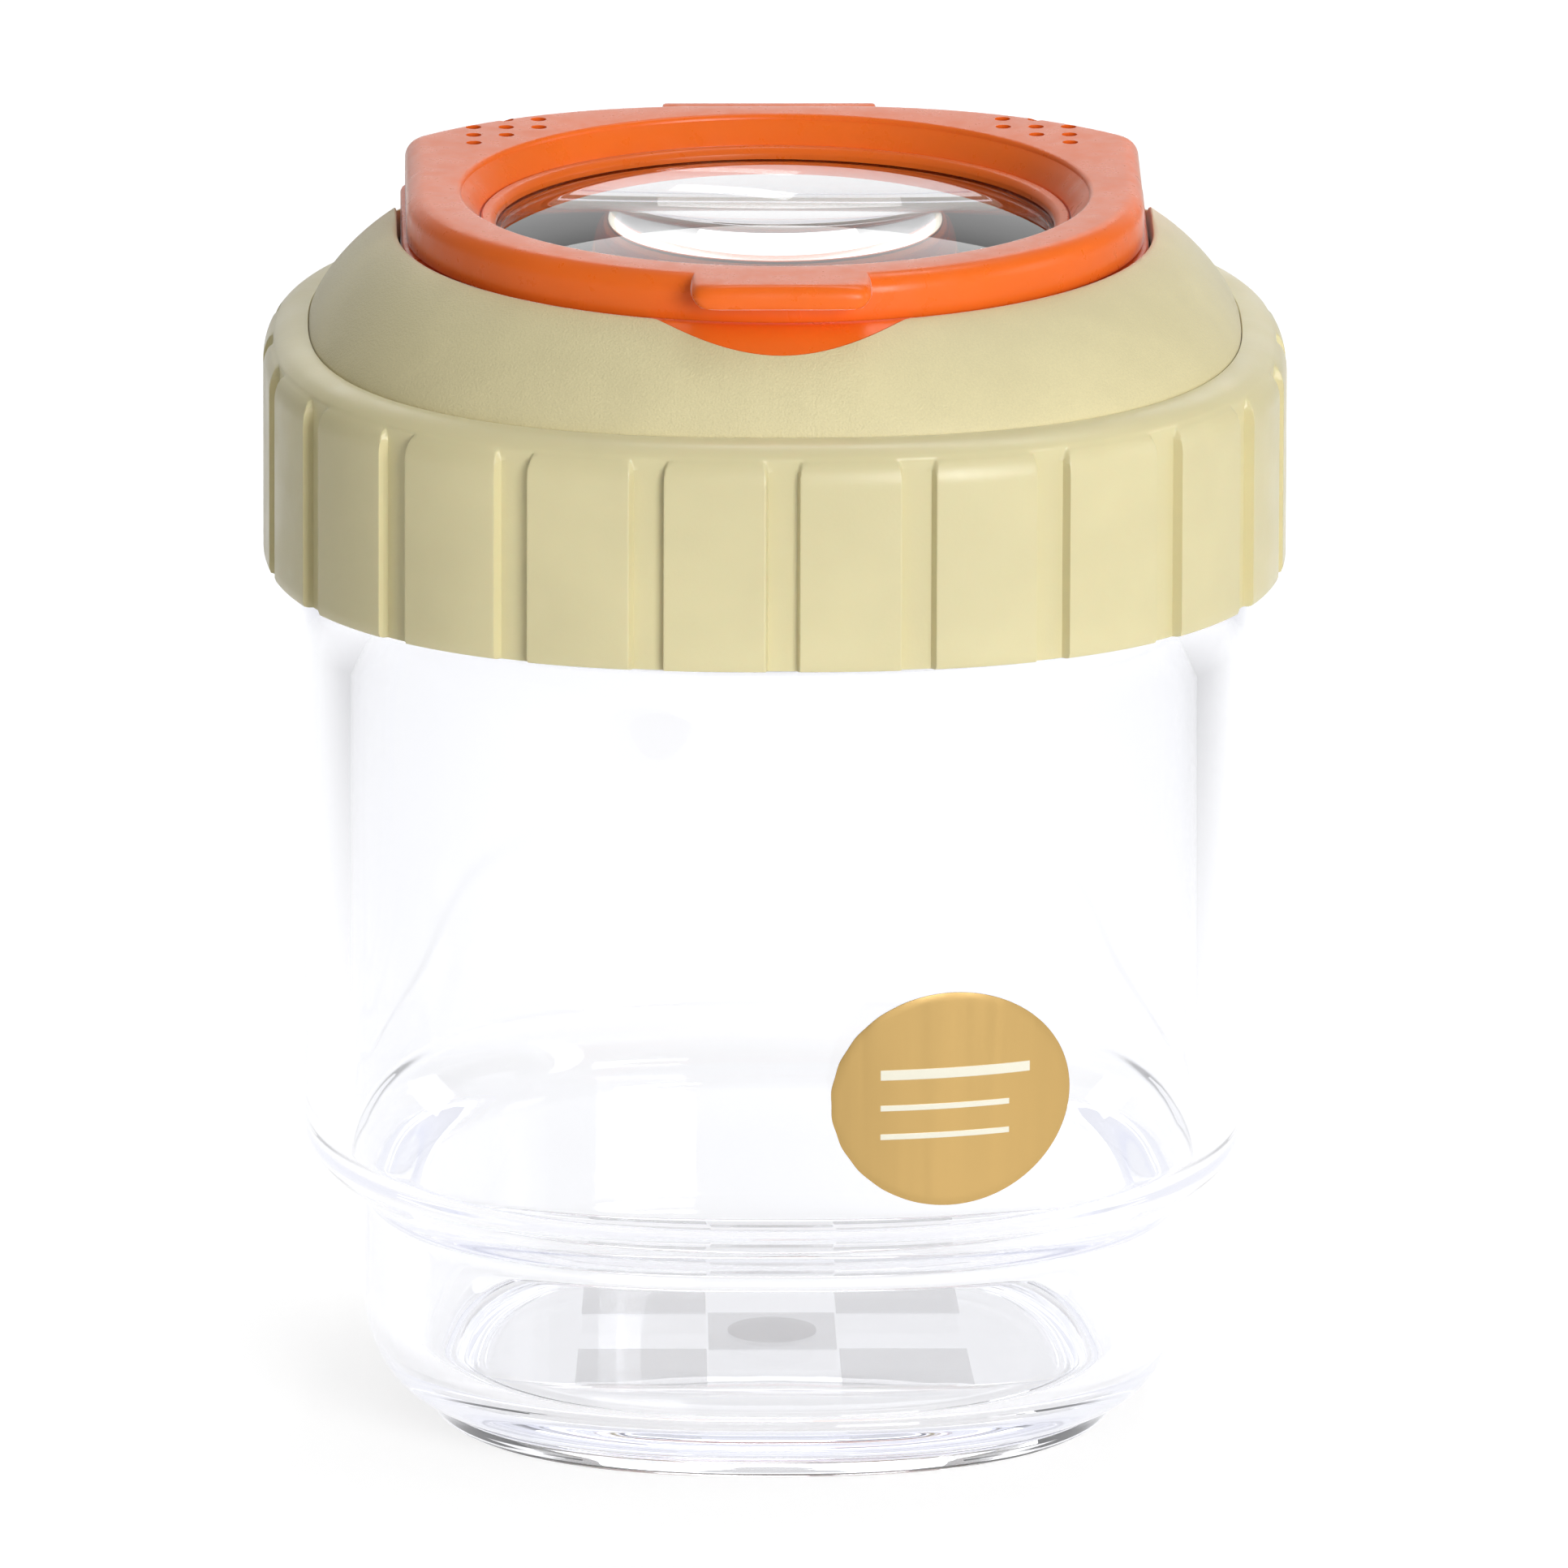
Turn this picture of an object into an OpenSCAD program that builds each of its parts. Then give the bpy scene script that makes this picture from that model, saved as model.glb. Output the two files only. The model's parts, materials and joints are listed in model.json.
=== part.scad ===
// Bug viewing jar: a thick clear jar with a ribbed screw lid, a domed top and a flip-up magnifier.
// Millimetres. +Z is up, the thumb tab faces -Y, and the origin is the middle of the foot ring's underside.

/* [Jar body] */
// Width of the clear body across its flats, at the shoulder
jar_w = 84.4; // [82:0.4:90]
// Height of the shoulder, where the neck starts
shoulder_h = 76.4; // [64:0.4:96]
// How much each side draws in from the shoulder down to the step
body_draft = 0.6; // [0:0.1:1.2]
// Thickness of the clear wall
jar_wall = 4.6; // [4:0.1:5.4]
// Power of the rounded-square plan, where 2 is a circle
plan_power = 2.45; // [2.2:0.05:2.55]
// Height of the neck above the shoulder
neck_h = 16.2; // [12:0.2:20]
// Width of the lower bowl across its flats
bowl_w = 72.4; // [68:0.4:76]
// Height at which the flare ends and the upper body starts
step_h = 26; // [22:0.5:34]
// Height of the flare below the step
flare_h = 7.8; // [6:0.2:11]
// Height of the rounding between the foot ring and the bowl's wall
bowl_round_h = 7.5; // [5:0.5:9]

/* [Foot and floor] */
// Width of the foot ring across its flats
foot_w = 61.6; // [56:0.4:64]
// Height of the foot ring
foot_h = 2; // [1.2:0.1:3]
// Width of the foot ring's rim
foot_rim = 2.6; // [1.8:0.1:4]
// Depth of the hollow inside the foot ring
foot_hollow = 1.4; // [0.8:0.1:2]
// Thickness of the floor
floor_t = 3.8; // [3:0.1:5]
// Radius of the rounding between the floor and the inner wall
floor_round = 3.4; // [2.4:0.2:6]
// Side of one square of the measuring pattern
cell = 11.7; // [9:0.1:12]
// Height of the raised squares
cell_t = 0.15; // [0.1:0.05:0.3]
// Diameter of the moulding mark in the middle square
gate_d = 8; // [5:0.5:9]

/* [Screw ring] */
// Wall of the ring at its grooves
ring_wall = 1.3; // [1:0.1:2.4]
// Number of grip pads
pads = 24; // [16:1:30]
// How far the pads stand out
pad_proud = 0.9; // [0.4:0.1:1.4]
// Share of the pitch that a groove takes
groove_share = 0.22; // [0.14:0.02:0.36]
// Width of the ring's rounded shoulder, in plan
ring_round = 3; // [2:0.2:4]
// Height of the ring's rounded shoulder
ring_round_h = 3.6; // [2.4:0.2:5]
// Thickness of the flange that stops on the jar's rim
flange_t = 2.5; // [1.8:0.1:3.2]
// Depth of the seat that the dome drops into
dome_seat = 1.8; // [1:0.1:3]

/* [Dome] */
// Rise of the dome above the crease
dome_h = 8.3; // [7:0.1:10]
// Thickness of the dome's wall
dome_wall = 2; // [1.4:0.1:2.6]
// Fullness of the dome's side, where 2 is a quarter ellipse
dome_power = 1.3; // [1.1:0.02:2]
// Width of the flat landing round the flip cover
landing = 0.4; // [0.2:0.1:1]

/* [Flip cover] */
// Width of the flip cover
cover_w = 65; // [63:0.4:68]
// Distance from the lens axis to the cover's rear edge
cover_rear = 32.2; // [31:0.1:33.4]
// Half width of the straight middle of the cover's rear edge
rear_flat = 6; // [4:0.5:9]
// Radius of the cover's rear edge to either side of that
rear_r = 35; // [34:0.5:40]
// Radius of the cover's two rear corners
corner_r = 3.5; // [3:0.1:5]
// Height of the cover's outer wall
cover_h = 4.2; // [3.8:0.1:5]
// Thickness of the cover's outer wall
cover_wall = 1.8; // [1.2:0.1:2]
// Thickness of the cover's top
cover_top_t = 2; // [1.6:0.1:2.4]
// Radius of the cover's rounded top edge
cover_round = 1.7; // [0.8:0.1:2]
// Width of the thumb tab
tab_w = 15.8; // [12:0.2:20]
// How far the thumb tab stands out
tab_out = 3; // [2:0.1:4]
// Thickness of the thumb tab
tab_t = 2.2; // [1.8:0.1:2.8]
// Radius of the tongue that shows under the thumb tab
tongue_r = 17; // [14:0.5:22]
// How far the tongue reaches past the cover's front edge
tongue_out = 4; // [2.4:0.1:5]
// Diameter of an air hole
air_hole_d = 1.4; // [1:0.1:1.8]
// Spacing of the air holes
air_pitch = 2.9; // [2.6:0.05:3]

/* [Lenses] */
// Radius of the clear part of both lenses
lens_r = 24.6; // [23:0.1:25]
// Width of the lens rim that the seats hold
lens_rim = 0.9; // [0.6:0.1:1.2]
// Thickness of the lens rim
lens_rim_t = 1.1; // [0.8:0.1:1.6]
// Bulge of each face of the upper lens
upper_bulge = 2.9; // [2:0.1:3.2]
// Bulge of each face of the lower lens
lower_bulge = 2.2; // [1.6:0.1:2.6]
// Depth of the upper lens's rim below the cover's top
lens_depth = 3.5; // [3.3:0.1:4.2]
// Thickness of the ledge that each lens lies on
ledge_t = 1.2; // [0.8:0.1:1.6]
// Thickness of the rings that hold the lenses in
keeper_t = 1; // [0.7:0.1:1.3]
// How much the recess above the lens widens towards the top
recess_flare = 1.1; // [0.6:0.1:1.6]

/* [Lens frame] */
// Thickness of the lens frame's walls and of its top
frame_wall = 2; // [1.4:0.1:2.2]
// Thickness of the flange that the lens frame stands on
frame_flange_t = 2; // [1.4:0.1:2.6]

/* [Hinge] */
// Diameter of the hinge pin
pin_d = 2; // [1.5:0.1:2.4]
// Width of the cover's hinge barrel
barrel_w = 19; // [14:0.5:24]
// Diameter of the hinge barrel and of the ears
barrel_d = 5.2; // [4.6:0.1:5.6]
// Width of each hinge ear
ear_w = 3.5; // [2.4:0.1:5]
// Distance from the cover's rear edge to the hinge pin
hinge_out = 1.8; // [1.5:0.1:2.4]

/* [Label] */
// Width of the oval label, seen from the front
label_w = 21; // [16:0.5:24]
// Height of the oval label
label_h = 19.3; // [14:0.5:24]
// Distance of the label's middle to the right of the jar's middle
label_x = 14.9; // [0:0.1:18]
// Height of the label's middle above the step
label_up = 11.4; // [11:0.2:30]
// Thickness of the label
label_t = 0.2; // [0.1:0.05:0.4]

/* [Hidden] */

// Clearances
thread_room = 1.5;    // between the neck and the ring's bore, where the thread stands
lid_gap = 0.6;        // between the jar's shoulder and the ring
stop_gap = 0.3;       // between the jar's rim and the flange that stops on it
run_gap = 0.3;        // between pieces that move past each other
fit_gap = 0.15;       // between pieces that are fixed to each other
slot_gap = 0.8;       // between the flip cover and the dome round it
frame_gap = 0.4;      // between the lens frame and the dome round it
lens_gap = 0.6;       // between the two lenses on their axis
pin_gap = 0.04;       // between the hinge pin and its bores
label_gap = 0.12;     // between the label and the wall
overrun = 1;          // how far every cut runs past the face that it opens

// Small sizes of single pieces
neck_inset = 0.8;     // the neck stands this far inside the body's flats
edge = 0.5;           // small rounded edges of the clear jar and of the ring's lower edge
crease_land = 0.3;    // flat land of the ring beside the dome
cover_sink = 0.4;     // the flip cover's lower edge is this far below the dome's landing
cell_gap = 0.2;       // gap between neighbouring squares
gate_t = 0.3;         // height of the moulding mark
seat_out = 0.4;       // the keeper ring reaches this far past the lens rim
keeper_edge = 0.5;    // slope on the keeper ring's inner edge
tab_round = 1.2;      // rounded edge of the thumb tab
tab_end_r = 2.6;      // rounded ends of the thumb tab, in plan
skirt = 1.5;          // wall of the cover's lens barrel
tongue_gap = 0.2;     // joint between the tongue and the dome
tongue_sink = 0.1;    // the tongue's face lies this far below the dome's
notch_gap = 0.4;      // free space round the hinge ears
ear_inset = 0.4;      // the ears' heads are this much smaller in radius than the barrel

// Shares
pad_side_share = 0.03;
pad_flat_shares = [0.37, 0.63];
flare_shares = [0, 0.1, 0.22, 0.36, 0.5, 0.64, 0.78, 0.9];
label_shares = [0.2, 0.45, 0.65, 0.85, 1];
web_low_share = 0.33;
web_high_share = 0.8;
air_rear_pitches = 2.07;
corner_steps = 5;
rear_steps = 9;
front_steps = 72;

// Counts
seg = 72;             // sides of the rounded-square shells
label_sides = 36;
$fn = 96;
ball_fn = 720;        // sides of the large circles that the lens faces come from

// Half widths and radii
jar_half = jar_w / 2;
step_half = jar_half - body_draft;
bowl_half = bowl_w / 2;
foot_half = foot_w / 2;
cavity_half = jar_half - jar_wall;
lower_cavity_half = bowl_half - jar_wall;
neck_r = jar_half - neck_inset;
ring_bore_r = neck_r + thread_room;
ring_half = ring_bore_r + ring_wall;
crease_half = ring_half - ring_round;
dome_half = crease_half - fit_gap;
shoulder_w = ring_round + pad_proud - crease_land;
cover_r = cover_w / 2;
corner_x = cover_r - corner_r;
rear_y = cover_rear - rear_r;
corner_y = rear_y + sqrt(pow(rear_r - corner_r, 2) - pow(corner_x - rear_flat, 2));
rear_a = atan2(corner_y - rear_y, corner_x - rear_flat);
rim_r = lens_r + lens_rim;
keeper_r = rim_r + seat_out;
recess_r = keeper_r + fit_gap + recess_flare;
dome_top_r = cover_r + slot_gap + landing;
cover_barrel_r = keeper_r + fit_gap + skirt;
well_r = cover_barrel_r + run_gap;
frame_barrel_r = well_r + skirt;
flange_hole_r = cover_r + ring_wall;
frame_flange_r = dome_half - dome_wall - frame_gap;

// Heights
floor_z = foot_hollow + floor_t;
rim_z = shoulder_h + neck_h;
ring_z = shoulder_h + lid_gap;
flange_z = rim_z + stop_gap;
seat_z = flange_z + flange_t;
crease_z = seat_z + dome_seat;
landing_z = crease_z + dome_h;
cover_z = landing_z - cover_sink;
top_z = cover_z + cover_h;
frame_z = seat_z + fit_gap;
frame_top_z = cover_z - run_gap;
upper_rim_z = top_z - lens_depth - lens_rim_t;
upper_ledge_z = upper_rim_z - fit_gap - ledge_t;
lower_rim_z = upper_rim_z - upper_bulge - lens_gap - lower_bulge - lens_rim_t;
well_z = lower_rim_z + lens_rim_t + fit_gap + ledge_t;
label_z = step_h + label_up;

// Hinge
hinge_y = cover_rear + hinge_out;
hinge_z = top_z - cover_round / 2 - barrel_d / 2 + edge / 2;
ear_x = barrel_w / 2 + run_gap;
pin_r = pin_d / 2;
hinge_r = barrel_d / 2;
ear_r = hinge_r - ear_inset;

// Reach of a rounded square of half width 1, in the direction of angle t
function reach(t) = pow(pow(abs(cos(t)), plan_power) + pow(abs(sin(t)), plan_power), -1 / plan_power);

// One closed loop of points at height z
function loop(half, z) = [for (i = [0:seg - 1]) let (t = 360 * i / seg, r = half * reach(t)) [r * cos(t), r * sin(t), z]];

// Smooth step from 0 to 1
function ease(s) = s * s * s * (10 + s * (6 * s - 15));

// Closed skin through loops that all have the same number of points
module loft(loops) {
    n = len(loops[0]);
    last = len(loops) - 1;
    polyhedron(
        points = [for (l = loops) each l],
        faces = concat(
            [[for (i = [0:n - 1]) i]],
            [for (j = [0:last - 1], i = [0:n - 1]) [j * n + i, (j + 1) * n + i, (j + 1) * n + (i + 1) % n]],
            [for (j = [0:last - 1], i = [0:n - 1]) [j * n + i, (j + 1) * n + (i + 1) % n, j * n + (i + 1) % n]],
            [[for (i = [n - 1:-1:0]) last * n + i]]
        )
    );
}

// Outside of the clear jar, from the hollow in the foot up to the shoulder
function jar_outside() = concat(
    [
        loop(foot_half - foot_rim - edge, foot_hollow),
        loop(foot_half - foot_rim, edge),
        loop(foot_half - foot_rim + edge, 0),
        loop(foot_half - edge, 0),
        loop(foot_half, edge),
        loop(foot_half, foot_h)
    ],
    [for (a = [15:15:90])
        loop(foot_half + (bowl_half - foot_half) * sin(a), foot_h + bowl_round_h * (1 - cos(a)))],
    [for (s = flare_shares)
        loop(bowl_half + (step_half - bowl_half) * ease(s), step_h - flare_h * (1 - s))],
    [
        loop(step_half, step_h),
        loop(jar_half, shoulder_h - edge),
        loop(jar_half - edge, shoulder_h)
    ]
);

// Inside of the clear jar, from the floor up through the mouth
function jar_inside() = concat(
    [for (a = [0:18:90])
        loop(lower_cavity_half - floor_round * (1 - sin(a)), floor_z + floor_round * (1 - cos(a)))],
    [for (s = flare_shares)
        loop(lower_cavity_half + (cavity_half - lower_cavity_half) * ease(s),
            step_h + edge - flare_h * (1 - s))],
    [
        loop(cavity_half, step_h + edge),
        loop(cavity_half, rim_z + overrun)
    ]
);

module jar_body() {
    color("lightcyan", 0.4)
    union() {
        difference() {
            union() {
                loft(jar_outside());
                translate([0, 0, shoulder_h - jar_wall]) cylinder(r = neck_r, h = neck_h + jar_wall);
            }
            loft(jar_inside());
        }
        for (x = [-1:1], y = [-1:1]) if ((x + y) % 2 == 0)
            translate([x * cell, y * cell, floor_z + (cell_t - floor_t / 2) / 2])
                cube([cell - cell_gap, cell - cell_gap, cell_t + floor_t / 2], center = true);
        translate([0, 0, floor_z - floor_t / 2]) cylinder(d = gate_d, h = floor_t / 2 + gate_t);
    }
}

// Front of the clear body at distance x from the middle and height z, and a loop of the label on it
function front_half(z) = step_half + (jar_half - step_half) * (z - step_h) / (shoulder_h - edge - step_h);
function front_y(x, z, out) =
    let (h = front_half(z)) -h * pow(1 - pow(abs(x) / h, plan_power), 1 / plan_power) - out;
function label_loop(s, out) = [for (i = [0:label_sides - 1])
    let (t = 360 * i / label_sides, x = label_x + s * label_w / 2 * cos(t), z = label_z + s * label_h / 2 * sin(t))
    [x, front_y(x, z, out), z]];

module jar_label() {
    color("goldenrod")
    loft(concat(
        [for (s = label_shares) label_loop(s, label_gap)],
        [for (i = [len(label_shares) - 1:-1:0]) label_loop(label_shares[i], label_gap + label_t)]
    ));
}

// Outline of the ring at one height: the grooves lie on the base and the pads stand out from it
pad_shares = [[groove_share / 2, 0], [groove_share / 2 + pad_side_share, 1], [pad_flat_shares[0], 1],
    [pad_flat_shares[1], 1], [1 - groove_share / 2 - pad_side_share, 1], [1 - groove_share / 2, 0]];
function ring_loop(base, proud, z) = [for (k = [0:pads - 1], p = pad_shares)
    let (t = (k + p[0]) * 360 / pads - 90, r = (base + proud * p[1]) * reach(t)) [r * cos(t), r * sin(t), z]];

function ring_level(out, z) = ring_loop(min(ring_half, out), max(out - ring_half, 0), z);

// Angles round the shoulder: the grooves' floors run upright to the third, where they end in a ledge
ledge_a = acos(1 - pad_proud / shoulder_w);
shoulder_angles = concat([0, ledge_a / 2, ledge_a], [for (k = [1:4]) ledge_a + (90 - ledge_a) * k / 4]);

function ring_outside() = concat(
    [
        ring_loop(flange_hole_r, 0, ring_z),
        ring_level(ring_half + pad_proud - edge, ring_z),
        ring_level(ring_half + pad_proud, ring_z + edge)
    ],
    [for (a = shoulder_angles)
        ring_level(ring_half + pad_proud - shoulder_w * (1 - cos(a)), crease_z - ring_round_h * (1 - sin(a)))],
    [ring_loop(flange_hole_r, 0, crease_z)]
);

module screw_ring() {
    color("palegoldenrod")
    difference() {
        loft(ring_outside());
        translate([0, 0, ring_z - overrun]) cylinder(r = ring_bore_r, h = flange_z - ring_z + overrun);
        translate([0, 0, flange_z - overrun]) cylinder(r = flange_hole_r, h = flange_t + 2 * overrun);
        loft([loop(crease_half, seat_z), loop(crease_half, crease_z + overrun)]);
    }
}

// Loop of the dome, from its rounded square crease (out 1) to the round edge of its flat top (out 0)
function dome_loop(out, inset, z) = [for (i = [0:seg - 1])
    let (t = 360 * i / seg, r = dome_top_r + (dome_half * reach(t) - dome_top_r) * out - inset)
    [r * cos(t), r * sin(t), z]];
function dome_loops(inset, low_z) = concat(
    [dome_loop(1, inset, low_z)],
    [for (a = [0:15:90])
        dome_loop(pow(cos(a), 2 / dome_power), inset, crease_z + (dome_h - inset) * pow(sin(a), 2 / dome_power))]
);

// Plan of the flip cover, grown by a distance
module cover_plan(grow) {
    circle(cover_r + grow);
    translate([-cover_r - grow, 0]) square([cover_w + 2 * grow, corner_y]);
    translate([-rear_flat, 0]) square([2 * rear_flat, cover_rear + grow]);
    for (side = [0, 1]) mirror([side, 0]) {
        translate([corner_x, corner_y]) circle(corner_r + grow);
        translate([rear_flat, rear_y]) intersection() {
            circle(rear_r + grow);
            rear_wedge();
        }
    }
}

// Wedge that the rear edge's curve fills, from its centre to past its two ends
module rear_wedge() {
    polygon([[0, 0], [2 * (corner_x - rear_flat), 2 * (corner_y - rear_y)], [0, 2 * rear_r]]);
}

// Round column that cuts the tongue's place out of the dome
module tongue_column(grow, low_z) {
    translate([0, tongue_r - cover_r - tongue_out, low_z])
        cylinder(r = tongue_r + grow, h = landing_z - low_z + overrun);
}

module dome_cover() {
    color("wheat")
    difference() {
        loft(dome_loops(0, frame_z));
        loft(dome_loops(dome_wall, frame_z - overrun));
        translate([0, 0, frame_z]) linear_extrude(landing_z - frame_z + overrun) cover_plan(slot_gap);
        tongue_column(tongue_gap, frame_z);
        translate([-ear_x - ear_w - notch_gap, 0, frame_z - overrun])
            cube([2 * (ear_x + ear_w + notch_gap), hinge_y + hinge_r + notch_gap, landing_z - frame_z + 2 * overrun]);
    }
}

// Air holes in one rear corner, as counts of the pitch from the corner's inner hole
air_spots = [[0, 0], [0, 1], [1, 0], [1, 1], [1, -1], [2, 0], [2, -1], [2, -2]];
air_x = cover_r - cover_wall - air_hole_d - 3 * air_pitch;
air_y = cover_rear - cover_wall - air_hole_d - air_rear_pitches * air_pitch;
module air_holes(low_z, high_z) {
    for (side = [-1, 1], s = air_spots)
        translate([side * (air_x + s[0] * air_pitch), air_y + s[1] * air_pitch, low_z])
            cylinder(d = air_hole_d, h = high_z - low_z);
}

// Hinge ears that stand on the frame's rear tongue
module hinge_ears() {
    for (side = [-1, 1]) translate([side * (ear_x + ear_w / 2), 0, 0]) {
        translate([0, hinge_y, hinge_z]) rotate([0, 90, 0]) cylinder(r = ear_r, h = ear_w, center = true);
        translate([-ear_w / 2, hinge_y - ear_r, frame_z]) cube([ear_w, 2 * ear_r, hinge_z - frame_z]);
    }
}

module lens_frame() {
    color("darkorange")
    difference() {
        union() {
            frame_shell();
            hinge_ears();
        }
        translate([0, hinge_y, hinge_z]) rotate([0, 90, 0])
            cylinder(r = pin_r + pin_gap, h = 2 * (ear_x + ear_w + overrun), center = true);
        translate([0, hinge_y, hinge_z]) rotate([0, 90, 0])
            cylinder(r = hinge_r + run_gap, h = 2 * ear_x, center = true);
    }
}

module frame_shell() {
    difference() {
        union() {
            translate([0, 0, frame_z]) linear_extrude(frame_top_z - frame_z) cover_plan(slot_gap - frame_gap);
            translate([0, 0, frame_z]) cylinder(r = frame_flange_r, h = frame_flange_t);
            intersection() {
                tongue_column(0, frame_z);
                loft(dome_loops(tongue_sink, frame_z));
            }
            translate([-ear_x - ear_w, 0, frame_z])
                cube([2 * (ear_x + ear_w), hinge_y + hinge_r, hinge_z - hinge_r - run_gap - frame_z]);
        }
        difference() {
            translate([0, 0, frame_z - overrun])
                linear_extrude(frame_top_z - frame_wall - frame_z + overrun) cover_plan(slot_gap - frame_gap - frame_wall);
            translate([0, 0, frame_z - overrun]) cylinder(r = frame_barrel_r, h = landing_z - frame_z);
        }
        translate([0, 0, frame_z - overrun]) cylinder(r = rim_r + fit_gap, h = well_z - ledge_t - frame_z + overrun);
        translate([0, 0, frame_z]) cylinder(r = lens_r, h = landing_z - frame_z);
        translate([0, 0, well_z]) cylinder(r = well_r, h = landing_z);
        translate([0, 0, frame_top_z]) linear_extrude(landing_z - frame_top_z) cover_plan(run_gap);
        air_holes(frame_top_z - frame_wall - overrun, frame_top_z + overrun);
    }
}

// Lens with a flat rim, its lower rim face at z 0
module lens(bulge) {
    ball = (lens_r * lens_r + bulge * bulge) / (2 * bulge);
    rotate_extrude() {
        square([rim_r, lens_rim_t]);
        for (side = [0, 1]) translate([0, lens_rim_t / 2]) mirror([0, side]) intersection() {
            translate([0, lens_rim_t / 2 + bulge - ball]) circle(ball, $fn = ball_fn);
            square([lens_r + lens_rim / 2, lens_rim_t + bulge]);
        }
    }
}

// Ring that holds a lens in, its face against the lens at z 0 and its sloping edge away from it
module keeper_ring(hold_r) {
    rotate_extrude() polygon([[lens_r, 0], [hold_r, 0], [hold_r, keeper_t],
        [lens_r + keeper_edge, keeper_t], [lens_r, keeper_t - keeper_edge]]);
}

module lower_lens() {
    color("lightblue", 0.5) translate([0, 0, lower_rim_z]) lens(lower_bulge);
}

module lower_lens_ring() {
    color("coral") translate([0, 0, lower_rim_z - fit_gap]) mirror([0, 0, 1]) keeper_ring(rim_r);
}

// Half section of a plate with a rounded top edge, for turning or for running along an edge
module edge_section(half, height, round_r) {
    square([half, height - round_r]);
    square([half - round_r, height]);
    translate([half - round_r, height - round_r]) intersection() {
        circle(round_r);
        square(round_r);
    }
}

// Points of an arc about a centre, without its last one
function arc(x, y, r, from, to, steps, z) = [for (i = [0:steps - 1])
    let (a = from + (to - from) * i / steps) [x + r * cos(a), y + r * sin(a), z]];

// Loop round the flip cover's plan at height z, grown by a distance
function cover_loop(grow, z) = concat(
    arc(corner_x, corner_y, corner_r + grow, 0, rear_a, corner_steps, z),
    arc(rear_flat, rear_y, rear_r + grow, rear_a, 90, rear_steps, z),
    arc(-rear_flat, rear_y, rear_r + grow, 90, 180 - rear_a, rear_steps, z),
    arc(-corner_x, corner_y, corner_r + grow, 180 - rear_a, 180, corner_steps, z),
    arc(0, 0, cover_r + grow, 180, 360, front_steps, z)
);

// Solid block with the flip cover's plan and a rounded top edge
module cover_block() {
    loft(concat(
        [cover_loop(0, 0)],
        [for (a = [0:18:90]) cover_loop(-cover_round * (1 - cos(a)), cover_h - cover_round * (1 - sin(a)))]
    ));
}

module thumb_tab() {
    run = tab_w / 2 - tab_end_r;
    front = cover_r + tab_out;
    for (x = [-run, run]) translate([x, tab_end_r - front, 0])
        rotate_extrude() edge_section(tab_end_r, tab_t, tab_round);
    translate([run, 0, 0]) rotate([90, 0, -90])
        linear_extrude(2 * run) edge_section(front, tab_t, tab_round);
    for (side = [0, 1]) mirror([side, 0, 0]) translate([0, -lens_r, 0]) rotate([90, 0, 0])
        linear_extrude(front - tab_end_r - lens_r) edge_section(tab_w / 2, tab_t, tab_round);
}

module flip_cover() {
    color("orangered")
    difference() {
        union() {
            difference() {
                translate([0, 0, cover_z]) cover_block();
                translate([0, 0, cover_z - overrun])
                    linear_extrude(cover_h - cover_top_t + overrun) cover_plan(-cover_wall);
            }
            translate([0, 0, upper_ledge_z]) cylinder(r = cover_barrel_r, h = top_z - upper_ledge_z - cover_round);
            translate([0, 0, top_z - tab_t]) thumb_tab();
            translate([0, hinge_y, hinge_z]) rotate([0, 90, 0]) cylinder(r = hinge_r, h = barrel_w, center = true);
            translate([-barrel_w / 2, cover_rear - cover_wall, hinge_z - hinge_r * web_low_share])
                cube([barrel_w, cover_wall + hinge_out, hinge_r * (web_low_share + web_high_share)]);
        }
        translate([0, 0, upper_rim_z - fit_gap]) rotate_extrude() polygon([
            [0, 0],
            [keeper_r + fit_gap, 0],
            [keeper_r + fit_gap, lens_rim_t + keeper_t + 2 * fit_gap],
            [recess_r, top_z - edge - upper_rim_z + fit_gap],
            [recess_r + edge, top_z - upper_rim_z + fit_gap],
            [recess_r + edge, top_z + overrun - upper_rim_z],
            [0, top_z + overrun - upper_rim_z]
        ]);
        translate([0, 0, upper_ledge_z - overrun]) cylinder(r = lens_r, h = ledge_t + 2 * overrun);
        air_holes(cover_z, top_z + overrun);
        for (side = [-1, 1]) translate([side * (ear_x + ear_w / 2), hinge_y, hinge_z]) rotate([0, 90, 0])
            cylinder(r = ear_r + notch_gap, h = ear_w + 2 * run_gap, center = true);
        translate([0, hinge_y, hinge_z]) rotate([0, 90, 0])
            cylinder(r = pin_r + pin_gap, h = barrel_w + 2 * overrun, center = true);
    }
}

module upper_lens() {
    color("lightblue", 0.5) translate([0, 0, upper_rim_z]) lens(upper_bulge);
}

module upper_lens_ring() {
    color("tomato") translate([0, 0, upper_rim_z + lens_rim_t + fit_gap]) keeper_ring(keeper_r);
}

module hinge_pin() {
    color("silver") translate([0, hinge_y, hinge_z]) rotate([0, 90, 0])
        cylinder(r = pin_r, h = 2 * (ear_x + ear_w), center = true);
}

jar_body();
jar_label();
screw_ring();
dome_cover();
lens_frame();
lower_lens();
lower_lens_ring();
flip_cover();
upper_lens();
upper_lens_ring();
hinge_pin();
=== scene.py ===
"""Visual model of a clear bug viewing jar with a ribbed screw lid and a flip-up magnifier over a lens."""

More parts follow.
